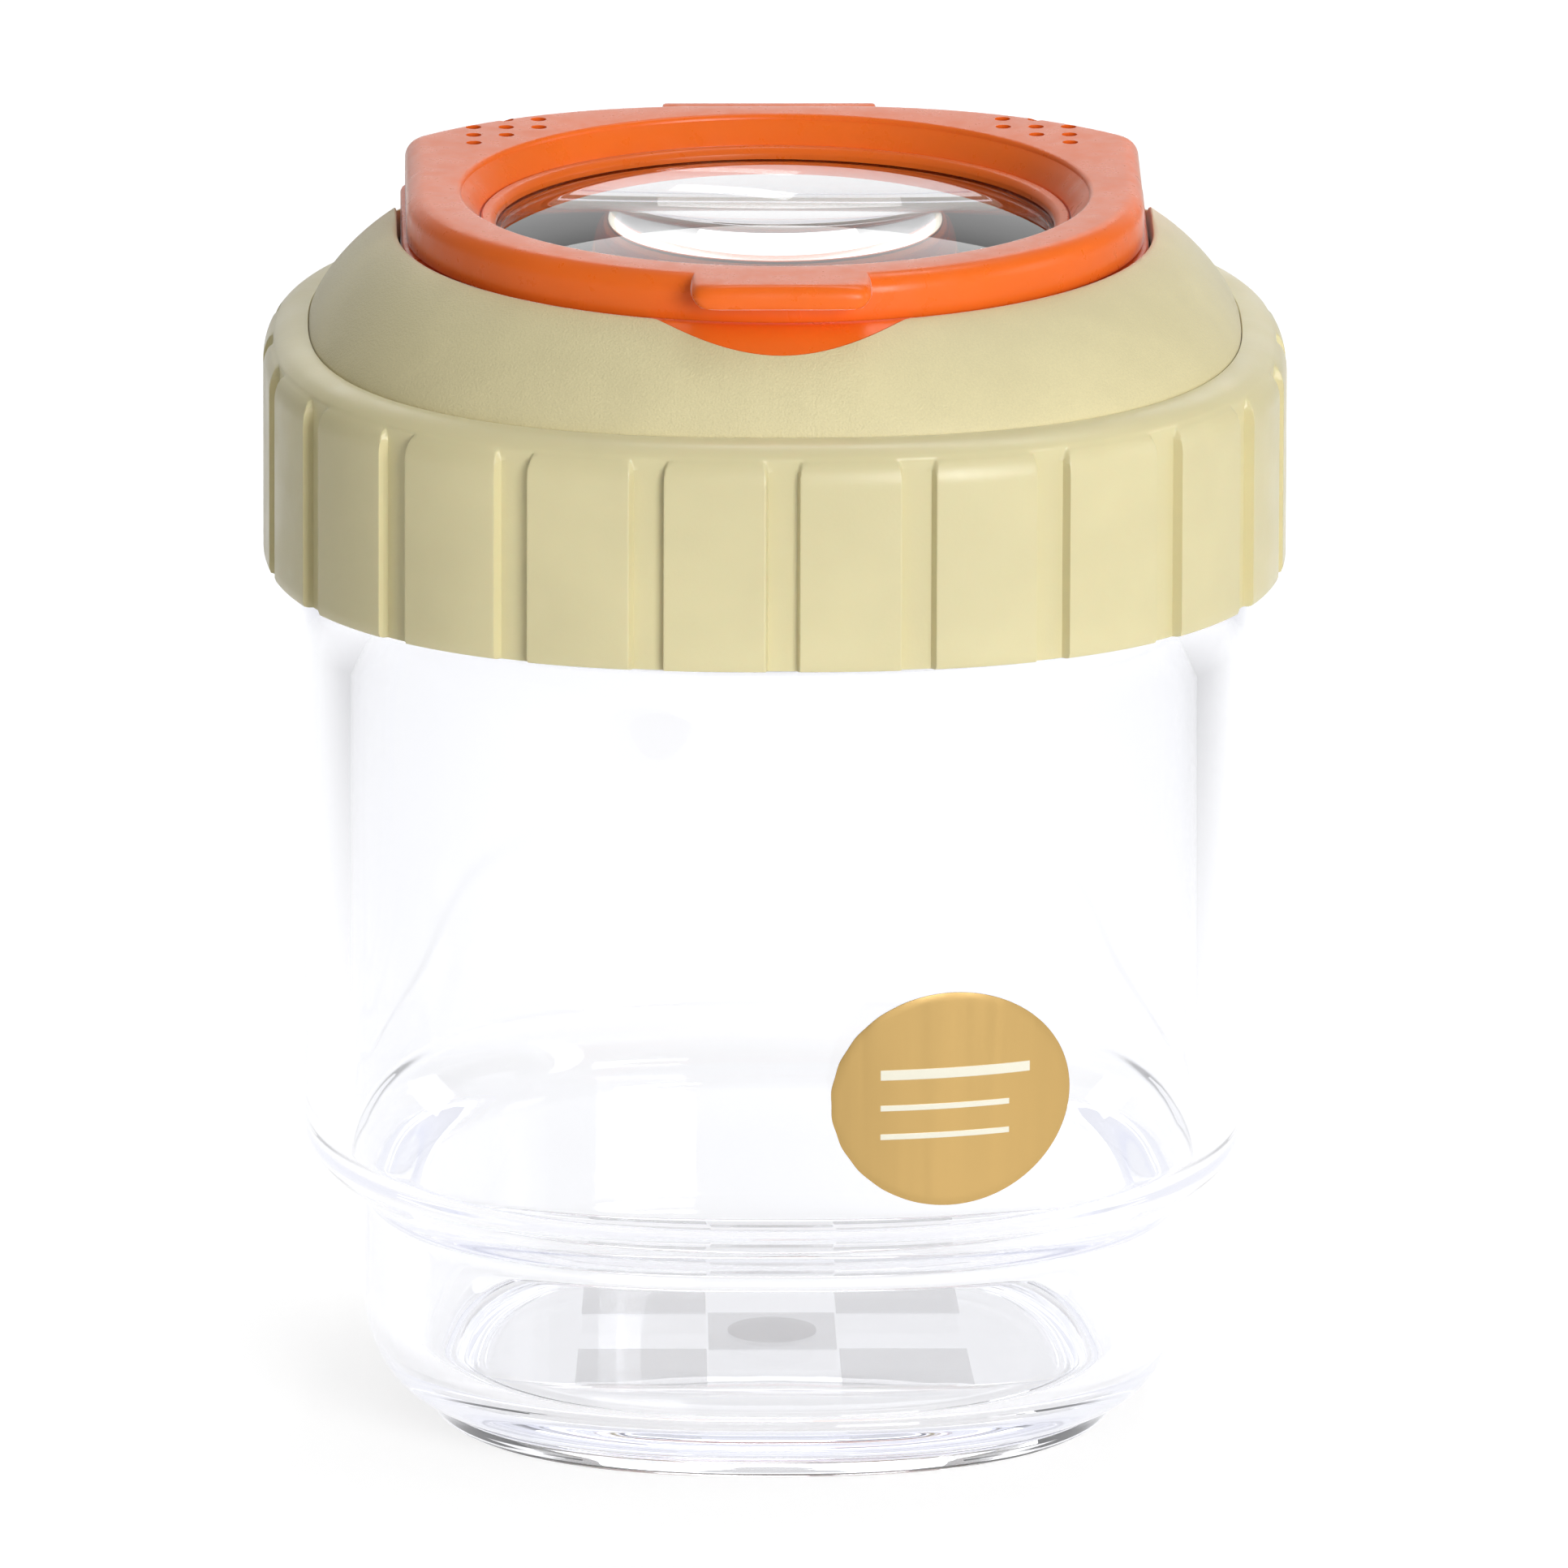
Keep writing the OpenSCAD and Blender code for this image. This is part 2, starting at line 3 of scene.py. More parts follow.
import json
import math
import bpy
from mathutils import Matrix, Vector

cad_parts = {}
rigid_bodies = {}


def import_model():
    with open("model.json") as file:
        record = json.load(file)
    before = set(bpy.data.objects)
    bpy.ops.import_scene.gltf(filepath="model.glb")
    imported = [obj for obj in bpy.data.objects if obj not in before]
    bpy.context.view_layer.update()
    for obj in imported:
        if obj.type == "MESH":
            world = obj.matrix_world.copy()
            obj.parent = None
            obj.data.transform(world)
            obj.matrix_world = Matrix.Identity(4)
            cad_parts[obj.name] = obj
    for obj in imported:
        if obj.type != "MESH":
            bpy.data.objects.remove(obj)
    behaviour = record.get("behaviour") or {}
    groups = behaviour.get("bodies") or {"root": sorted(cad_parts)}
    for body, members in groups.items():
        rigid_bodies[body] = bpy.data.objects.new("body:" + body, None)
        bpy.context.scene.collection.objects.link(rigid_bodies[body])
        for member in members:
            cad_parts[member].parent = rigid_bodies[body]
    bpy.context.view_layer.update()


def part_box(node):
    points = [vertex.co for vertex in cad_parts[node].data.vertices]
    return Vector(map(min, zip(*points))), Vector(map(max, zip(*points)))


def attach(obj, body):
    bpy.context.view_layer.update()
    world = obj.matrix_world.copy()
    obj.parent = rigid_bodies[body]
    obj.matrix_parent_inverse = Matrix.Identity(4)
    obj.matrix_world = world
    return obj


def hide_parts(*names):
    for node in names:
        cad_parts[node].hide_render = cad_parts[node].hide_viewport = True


bl_info = {
    "name": "Bug Viewing Jar",
    "version": (1, 0, 0),
    "blender": (4, 5, 0),
    "location": "3D View > Sidebar > Viewing Jar",
    "description": "Builds a clear viewing jar with a ribbed screw lid and a flip-up lens",
    "category": "Object",
}

import bmesh
import bpy
import numpy as np
from bpy.props import FloatProperty, FloatVectorProperty, IntProperty, PointerProperty
from mathutils import Matrix, Vector

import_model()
MM = 0.001

# Places that every piece shares, read from the solids
RING_LOW, RING_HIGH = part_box("screw_ring")
DOME_LOW, DOME_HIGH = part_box("dome_cover")
PIN_LOW, PIN_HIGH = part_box("hinge_pin")
RIM_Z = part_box("jar_body")[1].z
FRAME_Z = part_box("lens_frame")[0].z
TOP_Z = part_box("flip_cover")[1].z
RING_Z = RING_LOW.z
CREASE_Z = RING_HIGH.z
LANDING_Z = DOME_HIGH.z
HINGE_Y = (PIN_LOW.y + PIN_HIGH.y) / 2
HINGE_Z = (PIN_LOW.z + PIN_HIGH.z) / 2
PIN_R = (PIN_HIGH.z - PIN_LOW.z) / 2

# Power of the rounded square that the jar, the ring and the dome follow, where 2 is a circle
PLAN_POWER = 2.45

# The flip cover's plan is a circle at the front, with two small corners and a nearly flat back behind
COVER_R = 32.5 * MM
COVER_REAR = 32.2 * MM
COVER_WALL_Z = TOP_Z - 4.2 * MM
REAR_FLAT = 6 * MM
REAR_R = 35 * MM
REAR_Y = COVER_REAR - REAR_R
CORNER_R = 3.5 * MM
CORNER_X = COVER_R - CORNER_R
CORNER_Y = REAR_Y + math.sqrt((REAR_R - CORNER_R) ** 2 - (CORNER_X - REAR_FLAT) ** 2)

# Tongue of the lens frame under the thumb tab: radius of its plan, and how far it stands out
TONGUE_R = 14.5 * MM
TONGUE_OUT = 4 * MM

# Ears of the hinge: width, and gap beside the barrel
EAR_W = 3.5 * MM
EAR_GAP = 0.3 * MM

# Lenses, and the rings that hold them: a ring's face on its lens, its free face and its outer radius
LENS_R = 24.6 * MM
RIM_R = 25.5 * MM
UPPER_LENS_Z = 104.7 * MM
LOWER_LENS_Z = 97.9 * MM
UPPER_KEEPER = (105.95 * MM, 106.95 * MM, 25.9 * MM)
LOWER_KEEPER = (97.75 * MM, 96.75 * MM, RIM_R)

# Air holes of one rear corner in steps of their spacing, and the steps from the wall to the first one
AIR_SPOTS = ((0, 0), (0, 1), (1, 0), (1, 1), (1, -1), (2, 0), (2, -1), (2, -2))
AIR_SIDE_STEPS = 3
AIR_REAR_STEPS = 2.07

# Ruled lines of the label: height, left end, right end and half the thickness
LABEL_LINES = (
    (2.4 * MM, -6.2 * MM, 7.0 * MM, 0.5 * MM),
    (-0.6 * MM, -6.2 * MM, 5.2 * MM, 0.28 * MM),
    (-3.2 * MM, -6.2 * MM, 5.2 * MM, 0.28 * MM),
)

# Half the floor's side in metres
FLOOR_HALF = 6.0

# Lamps: name, place, width and height in metres, and power in watts
LAMPS = (
    ("key", (1.2, -2.5, 0.8), (1.3, 1.3), 54.0),
    ("fill_right", (2.6, -0.2, 0.7), (1.2, 1.2), 8.0),
    ("top_back", (0.4, 0.8, 2.2), (1.2, 0.25), 9.0),
    ("low_back", (0.0, 2.4, 1.5), (2.2, 0.6), 8.0),
)


def rgb(red, green, blue):
    """Linear colour from the 0 to 255 values that a colour picker shows."""
    return tuple(
        (c / 255 / 12.92) if c / 255 <= 0.04045 else ((c / 255 + 0.055) / 1.055) ** 2.4
        for c in (red, green, blue)
    )


# Settings


def length(name, about, default):
    return FloatProperty(name=name, description=about, default=default, unit="LENGTH", precision=5)


def colour(name, about, default):
    return FloatVectorProperty(
        name=name, description=about, default=default, subtype="COLOR", size=3, min=0, max=1
    )


def ratio(name, about, default):
    return FloatProperty(name=name, description=about, default=default, min=0)


class JarSettings(bpy.types.PropertyGroup):
    half_w: length("Half width", "Half width of the clear body at its shoulder", 42.2 * MM)
    draft: length("Draft", "How much each side draws in down to the step", 0.6 * MM)
    wall: length("Wall", "Thickness of the clear wall", 4.6 * MM)
    shoulder_z: length("Shoulder height", "Height of the shoulder under the ring", 76.4 * MM)
    step_z: length("Step height", "Height at which the upper body starts", 26 * MM)
    flare_h: length("Flare height", "Height of the flare below the step", 7.8 * MM)
    bowl_half: length("Bowl half width", "Half width of the lower bowl", 36.2 * MM)
    foot_half: length("Foot half width", "Half width of the foot ring", 30.8 * MM)
    foot_h: length("Foot height", "Height of the foot ring", 2 * MM)
    foot_rim: length("Foot rim", "Width of the foot ring's rim", 2.6 * MM)
    floor_z: length("Floor height", "Height of the inner floor", 5.2 * MM)
    floor_round: length("Floor rounding", "Radius between the floor and the inner wall", 3.4 * MM)
    neck_r: length("Neck radius", "Radius of the threaded neck", 41.4 * MM)
    thread_h: length("Thread height", "How far a thread stands out", 0.85 * MM)
    thread_lead: length("Thread lead", "Rise of the lid in one turn", 24 * MM)
    starts: IntProperty(name="Thread starts", description="Number of threads side by side", default=4, min=1)
    clear: colour("Clear plastic", "Tint of the clear plastic's surface", (0.99, 0.992, 1.0))
    depth: colour("Depth tint", "Tint that the clear plastic takes where it is deep", (0.80, 0.82, 0.95))


class SquareSettings(bpy.types.PropertyGroup):
    cell: length("Cell", "Side of one measuring square", 11.7 * MM)
    gap: length("Gap", "Gap between neighbouring squares", 0.2 * MM)
    height: length("Height", "How far the squares stand out of the floor", 0.15 * MM)
    mark_r: length("Mark radius", "Radius of the moulding mark in the middle square", 4 * MM)
    frosted: colour("Frosted", "Colour of the frosted squares", (0.9, 0.89, 0.92))


class LabelSettings(bpy.types.PropertyGroup):
    centre_x: length("Right", "Distance of the middle to the right", 14.9 * MM)
    centre_z: length("Height", "Height of the label's middle", 37.4 * MM)
    half_w: length("Half width", "Half width of the oval", 10.5 * MM)
    half_h: length("Half height", "Half height of the oval", 9.65 * MM)
    gold: colour("Gold", "Colour of the printed ground", rgb(200, 164, 98))
    cream: colour("Cream", "Colour of the ruled lines", rgb(238, 234, 215))


class RingSettings(bpy.types.PropertyGroup):
    floor_half: length("Groove half width", "Half width of the ring at the groove floors", 44.2 * MM)
    proud: length("Pad height", "How far the pads stand out", 0.9 * MM)
    land_half: length("Crease half width", "Half width of the ring's upper edge", 41.5 * MM)
    shoulder_h: length("Shoulder height", "Height of the rounded shoulder", 3.6 * MM)
    pads: IntProperty(name="Pads", description="Number of grip pads", default=24, min=3)
    groove_share: ratio("Groove share", "Share of the pitch that a groove takes", 0.22)
    corner_r: length("Corner radius", "Radius of the pads' upper corners", 1.5 * MM)
    edge_r: length("Edge radius", "Rounding of the pads' upright edges", 0.35 * MM)
    beige: colour("Beige", "Colour of the ring", rgb(221, 211, 165))


class DomeSettings(bpy.types.PropertyGroup):
    half: length("Half width", "Half width of the dome at the crease", 41.05 * MM)
    wall: length("Wall", "Thickness of the dome", 2 * MM)
    power: ratio("Fullness", "Fullness of the side, where 2 is a quarter ellipse", 1.3)
    slot: length("Slot", "Gap between the dome and the flip cover", 0.8 * MM)
    landing: length("Landing", "Width of the flat landing round the slot", 0.4 * MM)
    beige: colour("Beige", "Colour of the dome", rgb(222, 211, 165))


class CoverSettings(bpy.types.PropertyGroup):
    edge_r: length("Edge rounding", "Radius of the cover's upper edge", 1.7 * MM)
    wall: length("Wall", "Thickness of the cover's outer wall", 1.8 * MM)
    top_t: length("Top", "Thickness of the cover's top", 2 * MM)
    tab_w: length("Tab width", "Width of the thumb tab", 15.8 * MM)
    tab_out: length("Tab reach", "How far the thumb tab stands out", 3 * MM)
    tab_t: length("Tab thickness", "Thickness of the thumb tab", 2.2 * MM)
    hole_r: length("Air hole radius", "Radius of an air hole", 0.7 * MM)
    hole_pitch: length("Air hole spacing", "Spacing of the air holes", 2.9 * MM)
    barrel_r: length("Barrel radius", "Radius of the hinge barrel", 2.6 * MM)
    barrel_w: length("Barrel width", "Width of the hinge barrel", 19 * MM)
    orange: colour("Orange", "Colour of the cover and frame", rgb(248, 112, 32))


class LensSettings(bpy.types.PropertyGroup):
    rim_t: length("Rim thickness", "Thickness of the lens rims", 1.1 * MM)
    upper_bulge: length("Upper bulge", "Bulge of each face of the upper lens", 2.9 * MM)
    lower_bulge: length("Lower bulge", "Bulge of each face of the lower lens", 2.2 * MM)
    clear: colour("Clear lens", "Tint of the lenses", (0.995, 0.996, 1.0))


class StageSettings(bpy.types.PropertyGroup):
    distance: length("Camera distance", "Distance from the camera to the jar's axis", 2960 * MM)
    elevation: FloatProperty(name="Elevation", description="Camera height in degrees", default=14.9)
    azimuth: FloatProperty(name="Azimuth", description="Camera turn round the jar in degrees", default=-1.0)
    target_z: length("Target height", "Height that the camera looks at", 55.1 * MM)
    target_x: length("Target side", "Sideways place that the camera looks at", 0.94 * MM)
    field: length("Field", "Width of the picture at the jar's axis", 138.7 * MM)
    roll: FloatProperty(name="Roll", description="Camera roll in degrees", default=0.19)


# Mesh helpers


def turns(count):
    return np.arange(count) * 2 * math.pi / count


def reach(t):
    """Reach of a rounded square of half width 1 in the direction of angle t."""
    return (np.abs(np.cos(t)) ** PLAN_POWER + np.abs(np.sin(t)) ** PLAN_POWER) ** (-1 / PLAN_POWER)


def ease(s):
    """Smooth step from 0 to 1."""
    return s**3 * (10 + s * (6 * s - 15))


def loop(radii, z, t):
    return np.stack([radii * np.cos(t), radii * np.sin(t), np.zeros_like(t) + z], axis=1)


def squircle(half, z, t):
    return loop(half * reach(t), z, t)


def round_loop(radius, z, t):
    return loop(radius + np.zeros_like(t), z, t)


def stack(shape, t, *steps):
    """Loops of one shape at steps of size and height."""
    return [shape(size, z, t) for size, z in steps]


def arc_reach(c, s, x, y, radius):
    """Distance from the axis to an arc about (x, y), in the direction (c, s)."""
    along = x * c + y * s
    return along + np.sqrt(np.maximum(along**2 - x * x - y * y + radius * radius, 0))


def cover_reach(t, grow=0.0):
    """Distance from the lens axis to the flip cover's outline, grown by a distance."""
    c, s = np.abs(np.cos(t)), np.sin(t)
    side, rear = COVER_R + grow, COVER_REAR + grow
    turn = math.atan2(CORNER_Y - REAR_Y, CORNER_X - REAR_FLAT)
    end_x = REAR_FLAT + (REAR_R + grow) * math.cos(turn)
    end_y = REAR_Y + (REAR_R + grow) * math.sin(turn)
    out = np.where(
        s * end_x > end_y * c,
        arc_reach(c, s, REAR_FLAT, REAR_Y, REAR_R + grow),
        arc_reach(c, s, CORNER_X, CORNER_Y, CORNER_R + grow),
    )
    out = np.where(rear * c <= REAR_FLAT * s, rear / np.maximum(s, 1e-9), out)
    out = np.where(side * s <= CORNER_Y * c, side / np.maximum(c, 1e-9), out)
    return np.where(s <= 0, side, out)


def cover_turns(count):
    """Angles round the axis that lie closer together at the cover's two rear corners."""
    middle = math.atan2(CORNER_Y, CORNER_X) + np.radians(np.linspace(-4, 4, 25))
    return np.sort(np.concatenate([turns(count), middle, math.pi - middle]))


def cover_loop(grow, z, t):
    return loop(cover_reach(t, grow), z, t)


def link(mesh, name):
    obj = bpy.data.objects.new(name, mesh)
    bpy.context.scene.collection.objects.link(obj)
    return obj


def skin(name, loops, closed):
    """Closed skin through loops with equal counts: the last joins the first, or both ends are capped."""
    count, rows = len(loops[0]), len(loops)
    points = np.concatenate(loops)
    faces = []
    for j in range(rows if closed else rows - 1):
        k = (j + 1) % rows
        for i in range(count):
            n = (i + 1) % count
            faces.append((j * count + i, j * count + n, k * count + n, k * count + i))
    points = [tuple(p) for p in points]
    if not closed:
        for row, flip in ((0, True), (rows - 1, False)):
            middle = len(points)
            centre = np.mean(loops[row], axis=0)
            points.append(tuple(centre))
            for i in range(count):
                n = (i + 1) % count
                a, b = row * count + i, row * count + n
                faces.append((b, a, middle) if flip else (a, b, middle))
    mesh = bpy.data.meshes.new(name)
    mesh.from_pydata(points, [], faces)
    obj = link(mesh, name)
    face_out(obj)
    return obj


def face_out(obj):
    bm = bmesh.new()
    bm.from_mesh(obj.data)
    bmesh.ops.remove_doubles(bm, verts=bm.verts, dist=1e-7)
    bmesh.ops.recalc_face_normals(bm, faces=bm.faces)
    if bm.calc_volume(signed=True) < 0:
        bmesh.ops.reverse_faces(bm, faces=bm.faces)
    bm.to_mesh(obj.data)
    bm.free()


def rod(name, radius, half, edge, centre, steps=64):
    """Rod along X with rounded rims."""
    t = turns(steps)
    spans = [(radius - edge, -half), (radius - edge * 0.3, -half + edge * 0.3), (radius, -half + edge)]
    spans += [(r, -x) for r, x in reversed(spans)]
    flat = np.zeros_like(t)
    loops = [np.stack([flat + x, r * np.cos(t), r * np.sin(t)], axis=1) + np.array(centre) for r, x in spans]
    return skin(name, loops, closed=False)


def block(name, low, high, edge, segments=3):
    """Box with rounded edges."""
    bm = bmesh.new()
    bmesh.ops.create_cube(bm, size=1)
    for v in bm.verts:
        v.co = Vector((low[i] + (v.co[i] + 0.5) * (high[i] - low[i])) for i in range(3))
    if edge:
        bmesh.ops.bevel(bm, geom=bm.edges[:], offset=edge, segments=segments, profile=0.5, affect="EDGES")
    mesh = bpy.data.meshes.new(name)
    bm.to_mesh(mesh)
    bm.free()
    return link(mesh, name)


def settle(obj, angle=35):
    """Applies the modifiers, so that the piece is a plain mesh, and smooths what isn't a sharp edge."""
    mesh = bpy.data.meshes.new_from_object(obj.evaluated_get(bpy.context.evaluated_depsgraph_get()))
    old = obj.data
    obj.modifiers.clear()
    obj.data = mesh
    mesh.name = obj.name
    bpy.data.meshes.remove(old)
    mesh.shade_smooth()
    mesh.set_sharp_from_angle(angle=math.radians(angle))
    return obj


def combine(obj, other, operation):
    """Joins a helper to a piece or cuts it out, and removes the helper."""
    mod = obj.modifiers.new("combine", "BOOLEAN")
    mod.object, mod.operation, mod.solver = other, operation, "EXACT"
    settle(obj)
    bpy.data.objects.remove(other)
    return obj


def dress(obj, material, body, slot, *nodes):
    obj.data.materials.clear()
    obj.data.materials.append(material)
    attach(obj, body)
    if nodes:
        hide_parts(*nodes)
    return obj


# Material helpers


class Wiring:
    """Adds nodes to a tree, and feeds their sockets with values or with other nodes."""

    def __init__(self, tree):
        self.tree = tree

    def add(self, kind, inputs=None, **settings):
        made = self.tree.nodes.new(kind)
        for key, value in settings.items():
            setattr(made, key, value)
        for key, value in (inputs or {}).items():
            self.feed(made.inputs[key], value)
        return made

    def feed(self, socket, value):
        if isinstance(value, bpy.types.NodeSocket):
            self.tree.links.new(value, socket)
        else:
            socket.default_value = value

    def math(self, operation, *values):
        made = self.add("ShaderNodeMath", operation=operation)
        for socket, value in zip(made.inputs, values):
            self.feed(socket, value)
        return made.outputs[0]

    def between(self, value, low, high, to_low=0.0, to_high=1.0):
        """Smooth step of a value from one range to another."""
        made = self.add(
            "ShaderNodeMapRange",
            {"From Min": low, "From Max": high, "To Min": to_low, "To Max": to_high, "Value": value},
            interpolation_type="SMOOTHSTEP",
        )
        return made.outputs[0]

    def axes(self, vector):
        """X, Y and Z of a vector."""
        return self.add("ShaderNodeSeparateXYZ", {"Vector": vector}).outputs


class Finish(Wiring):
    """Builds one node material round a Principled BSDF, reading Object coordinates."""

    def __init__(self, name):
        self.material = bpy.data.materials.new(name)
        self.material.use_nodes = True
        super().__init__(self.material.node_tree)
        self.shader = self.tree.nodes["Principled BSDF"]
        self.place = self.add("ShaderNodeTexCoord").outputs["Object"]

    def set(self, **values):
        for key, value in values.items():
            socket = self.shader.inputs[key.replace("_", " ")]
            self.feed(socket, (*value, 1.0) if isinstance(value, tuple) and socket.type == "RGBA" else value)
        return self

    def noise(self, scale, detail=2.0, rough=0.5, stretch=None):
        place = self.place
        if stretch:
            place = self.add("ShaderNodeMapping", {"Vector": place, "Scale": stretch}).outputs[0]
        settings = {"Vector": place, "Scale": scale, "Detail": detail, "Roughness": rough}
        return self.add("ShaderNodeTexNoise", settings).outputs["Fac"]

    def flecks(self, scale):
        return self.add("ShaderNodeTexVoronoi", {"Vector": self.place, "Scale": scale}).outputs["Distance"]

    def mix(self, factor, low, high):
        made = self.add("ShaderNodeMix", data_type="RGBA")
        self.feed(made.inputs["Factor"], factor)
        for socket, value in ((made.inputs[6], low), (made.inputs[7], high)):
            self.feed(socket, (*value, 1.0) if isinstance(value, tuple) else value)
        return made.outputs[2]

    def bump(self, height, distance, strength=1.0):
        made = self.add("ShaderNodeBump", {"Height": height, "Distance": distance, "Strength": strength})
        self.feed(self.shader.inputs["Normal"], made.outputs[0])


def tint(base, factor):
    return tuple(min(1.0, c * factor) for c in base)


def clear_plastic(name, base, waves, depth_tint_and_glow=None):
    """Polished clear plastic: faint flow waves, a few fine rubbed places, a slight tint in its depth and,
    with that tint, a painted grey glow where rays stay inside.
    """
    finish = Finish(name)
    flow = finish.noise(60.0, 2.0, 0.5, (1.0, 1.0, 0.35))
    rubs = finish.noise(900.0, 3.0, 0.6, (1.0, 1.0, 0.2))
    finish.set(
        Base_Color=base,
        Roughness=finish.between(rubs, 0.55, 0.85, 0.01, 0.05),
        IOR=1.49,
        Transmission_Weight=1.0,
    )
    finish.bump(flow, waves)
    if depth_tint_and_glow:
        # Painted glow: where a ray is still inside after many inner reflections, the plastic gives off a soft
        # grey instead of ending black
        rays = finish.add("ShaderNodeLightPath")
        painted_glow_mask = finish.math("GREATER_THAN", rays.outputs["Glossy Depth"], 3.5)
        finish.set(Emission_Color=(1.0, 1.0, 1.0), Emission_Strength=finish.math("MULTIPLY", painted_glow_mask, 0.5))
        depth = finish.add("ShaderNodeVolumeAbsorption", {"Color": (*depth_tint_and_glow, 1.0), "Density": 12.0})
        finish.tree.links.new(depth.outputs[0], finish.tree.nodes["Material Output"].inputs["Volume"])
    return finish.material


def frosted_plastic(base):
    """Etched squares: a thin whitish veil with a fine grain."""
    finish = Finish("frosted_squares")
    grain = finish.noise(6000.0, 2.0, 0.6)
    cloud = finish.noise(350.0, 3.0, 0.6)
    finish.set(
        Base_Color=finish.mix(finish.between(cloud, 0.35, 0.7), base, tint(base, 1.14)),
        Roughness=finish.between(grain, 0.3, 0.7, 0.5, 0.75),
        IOR=1.3,
        Alpha=0.15,
    )
    finish.bump(grain, 0.02 * MM)
    return finish.material


def satin_plastic(base):
    """Smooth moulded beige plastic with slight flow marks and rubbed places."""
    finish = Finish("beige_satin")
    cloud = finish.noise(55.0, 3.0, 0.55)
    speck = finish.noise(2600.0, 2.0, 0.5)
    finish.set(
        Base_Color=finish.mix(finish.between(cloud, 0.3, 0.72), tint(base, 0.95), tint(base, 1.04)),
        Roughness=finish.between(finish.noise(240.0, 4.0, 0.6), 0.3, 0.75, 0.3, 0.42),
        IOR=1.5,
        Sheen_Weight=0.4,
        Sheen_Roughness=0.25,
        Subsurface_Weight=0.06,
        Subsurface_Scale=0.002,
    )
    finish.bump(speck, 0.012 * MM)
    return finish.material


def grained_plastic(base):
    """Spark-eroded grain: small round pits with a sparkle on their edges."""
    finish = Finish("beige_grained")
    pits = finish.flecks(4200.0)
    coarse = finish.noise(6500.0, 2.0, 0.65)
    cloud = finish.noise(70.0, 3.0, 0.55)
    height = finish.math("ADD", finish.math("MULTIPLY", pits, 0.7), finish.math("MULTIPLY", coarse, 0.9))
    shade = finish.math("ADD", finish.math("MULTIPLY", cloud, 0.6), finish.math("MULTIPLY", coarse, 0.4))
    finish.set(
        Base_Color=finish.mix(finish.between(shade, 0.35, 0.68), tint(base, 0.93), tint(base, 1.05)),
        Roughness=finish.between(coarse, 0.3, 0.7, 0.42, 0.6),
        IOR=1.5,
        Sheen_Weight=0.6,
        Sheen_Roughness=0.25,
    )
    finish.bump(height, 0.035 * MM)
    return finish.material


def orange_plastic(name, base, grain):
    """Moulded orange plastic with a faint cloudy tone and a fine speckled grain, the same all over."""
    finish = Finish(name)
    cloud = finish.noise(45.0, 3.0, 0.5)
    speck = finish.noise(3200.0, 2.0, 0.6)
    finish.set(
        Base_Color=finish.mix(finish.between(cloud, 0.3, 0.7), tint(base, 0.94), tint(base, 1.03)),
        Roughness=finish.between(finish.noise(500.0, 4.0, 0.6), 0.3, 0.75, 0.26, 0.4),
        IOR=1.4,
        Sheen_Weight=1.0,
        Sheen_Roughness=0.2,
        Subsurface_Weight=0.08,
        Subsurface_Radius=(0.004, 0.0015, 0.0005),
        Subsurface_Scale=0.5,
    )
    finish.bump(speck, grain)
    return finish.material


def label_print(settings):
    """Printed gold ground with a brushed look and ruled cream lines."""
    finish = Finish("label_print")
    x, _, z = finish.axes(finish.place)
    side = finish.math("SUBTRACT", x, settings.centre_x)
    up = finish.math("SUBTRACT", z, settings.centre_z)
    streaks = finish.noise(900.0, 2.0, 0.5, (1.0, 1.0, 0.04))
    # Painted light: the gold turns lighter towards the right side, where the key lamp falls
    glow = finish.between(side, -settings.half_w, settings.half_w, 0.0, 1.0)
    dark, light, lit_side_gold = (tint(settings.gold, factor) for factor in (0.93, 1.08, 1.12))
    gold = finish.mix(finish.math("MULTIPLY", streaks, 0.5), dark, light)
    gold = finish.mix(finish.math("MULTIPLY", glow, 0.35), gold, lit_side_gold)
    lines = None
    for height, left, right, thick in LABEL_LINES:
        inside = finish.math(
            "MULTIPLY",
            finish.between(finish.math("ABSOLUTE", finish.math("SUBTRACT", up, height)), thick, thick * 0.8),
            finish.math(
                "MULTIPLY",
                finish.between(side, left, left + 0.1 * MM),
                finish.between(side, right, right - 0.1 * MM),
            ),
        )
        lines = inside if lines is None else finish.math("MAXIMUM", lines, inside)
    finish.set(
        Base_Color=finish.mix(lines, gold, tuple(settings.cream)),
        Metallic=finish.math("MULTIPLY", finish.math("SUBTRACT", 1.0, lines), 0.35),
        Roughness=finish.between(streaks, 0.3, 0.7, 0.34, 0.46),
        IOR=1.5,
    )
    finish.bump(finish.math("ADD", streaks, lines), 0.01 * MM)
    return finish.material


def pin_steel():
    """Drawn steel wire with fine turning marks."""
    finish = Finish("pin_steel")
    marks = finish.noise(4000.0, 2.0, 0.5, (1.0, 0.05, 0.05))
    finish.set(
        Base_Color=finish.mix(marks, (0.50, 0.50, 0.52), (0.68, 0.68, 0.70)),
        Metallic=1.0,
        Roughness=finish.between(marks, 0.3, 0.7, 0.25, 0.42),
    )
    finish.bump(marks, 0.005 * MM)
    return finish.material


# Geometry node helpers


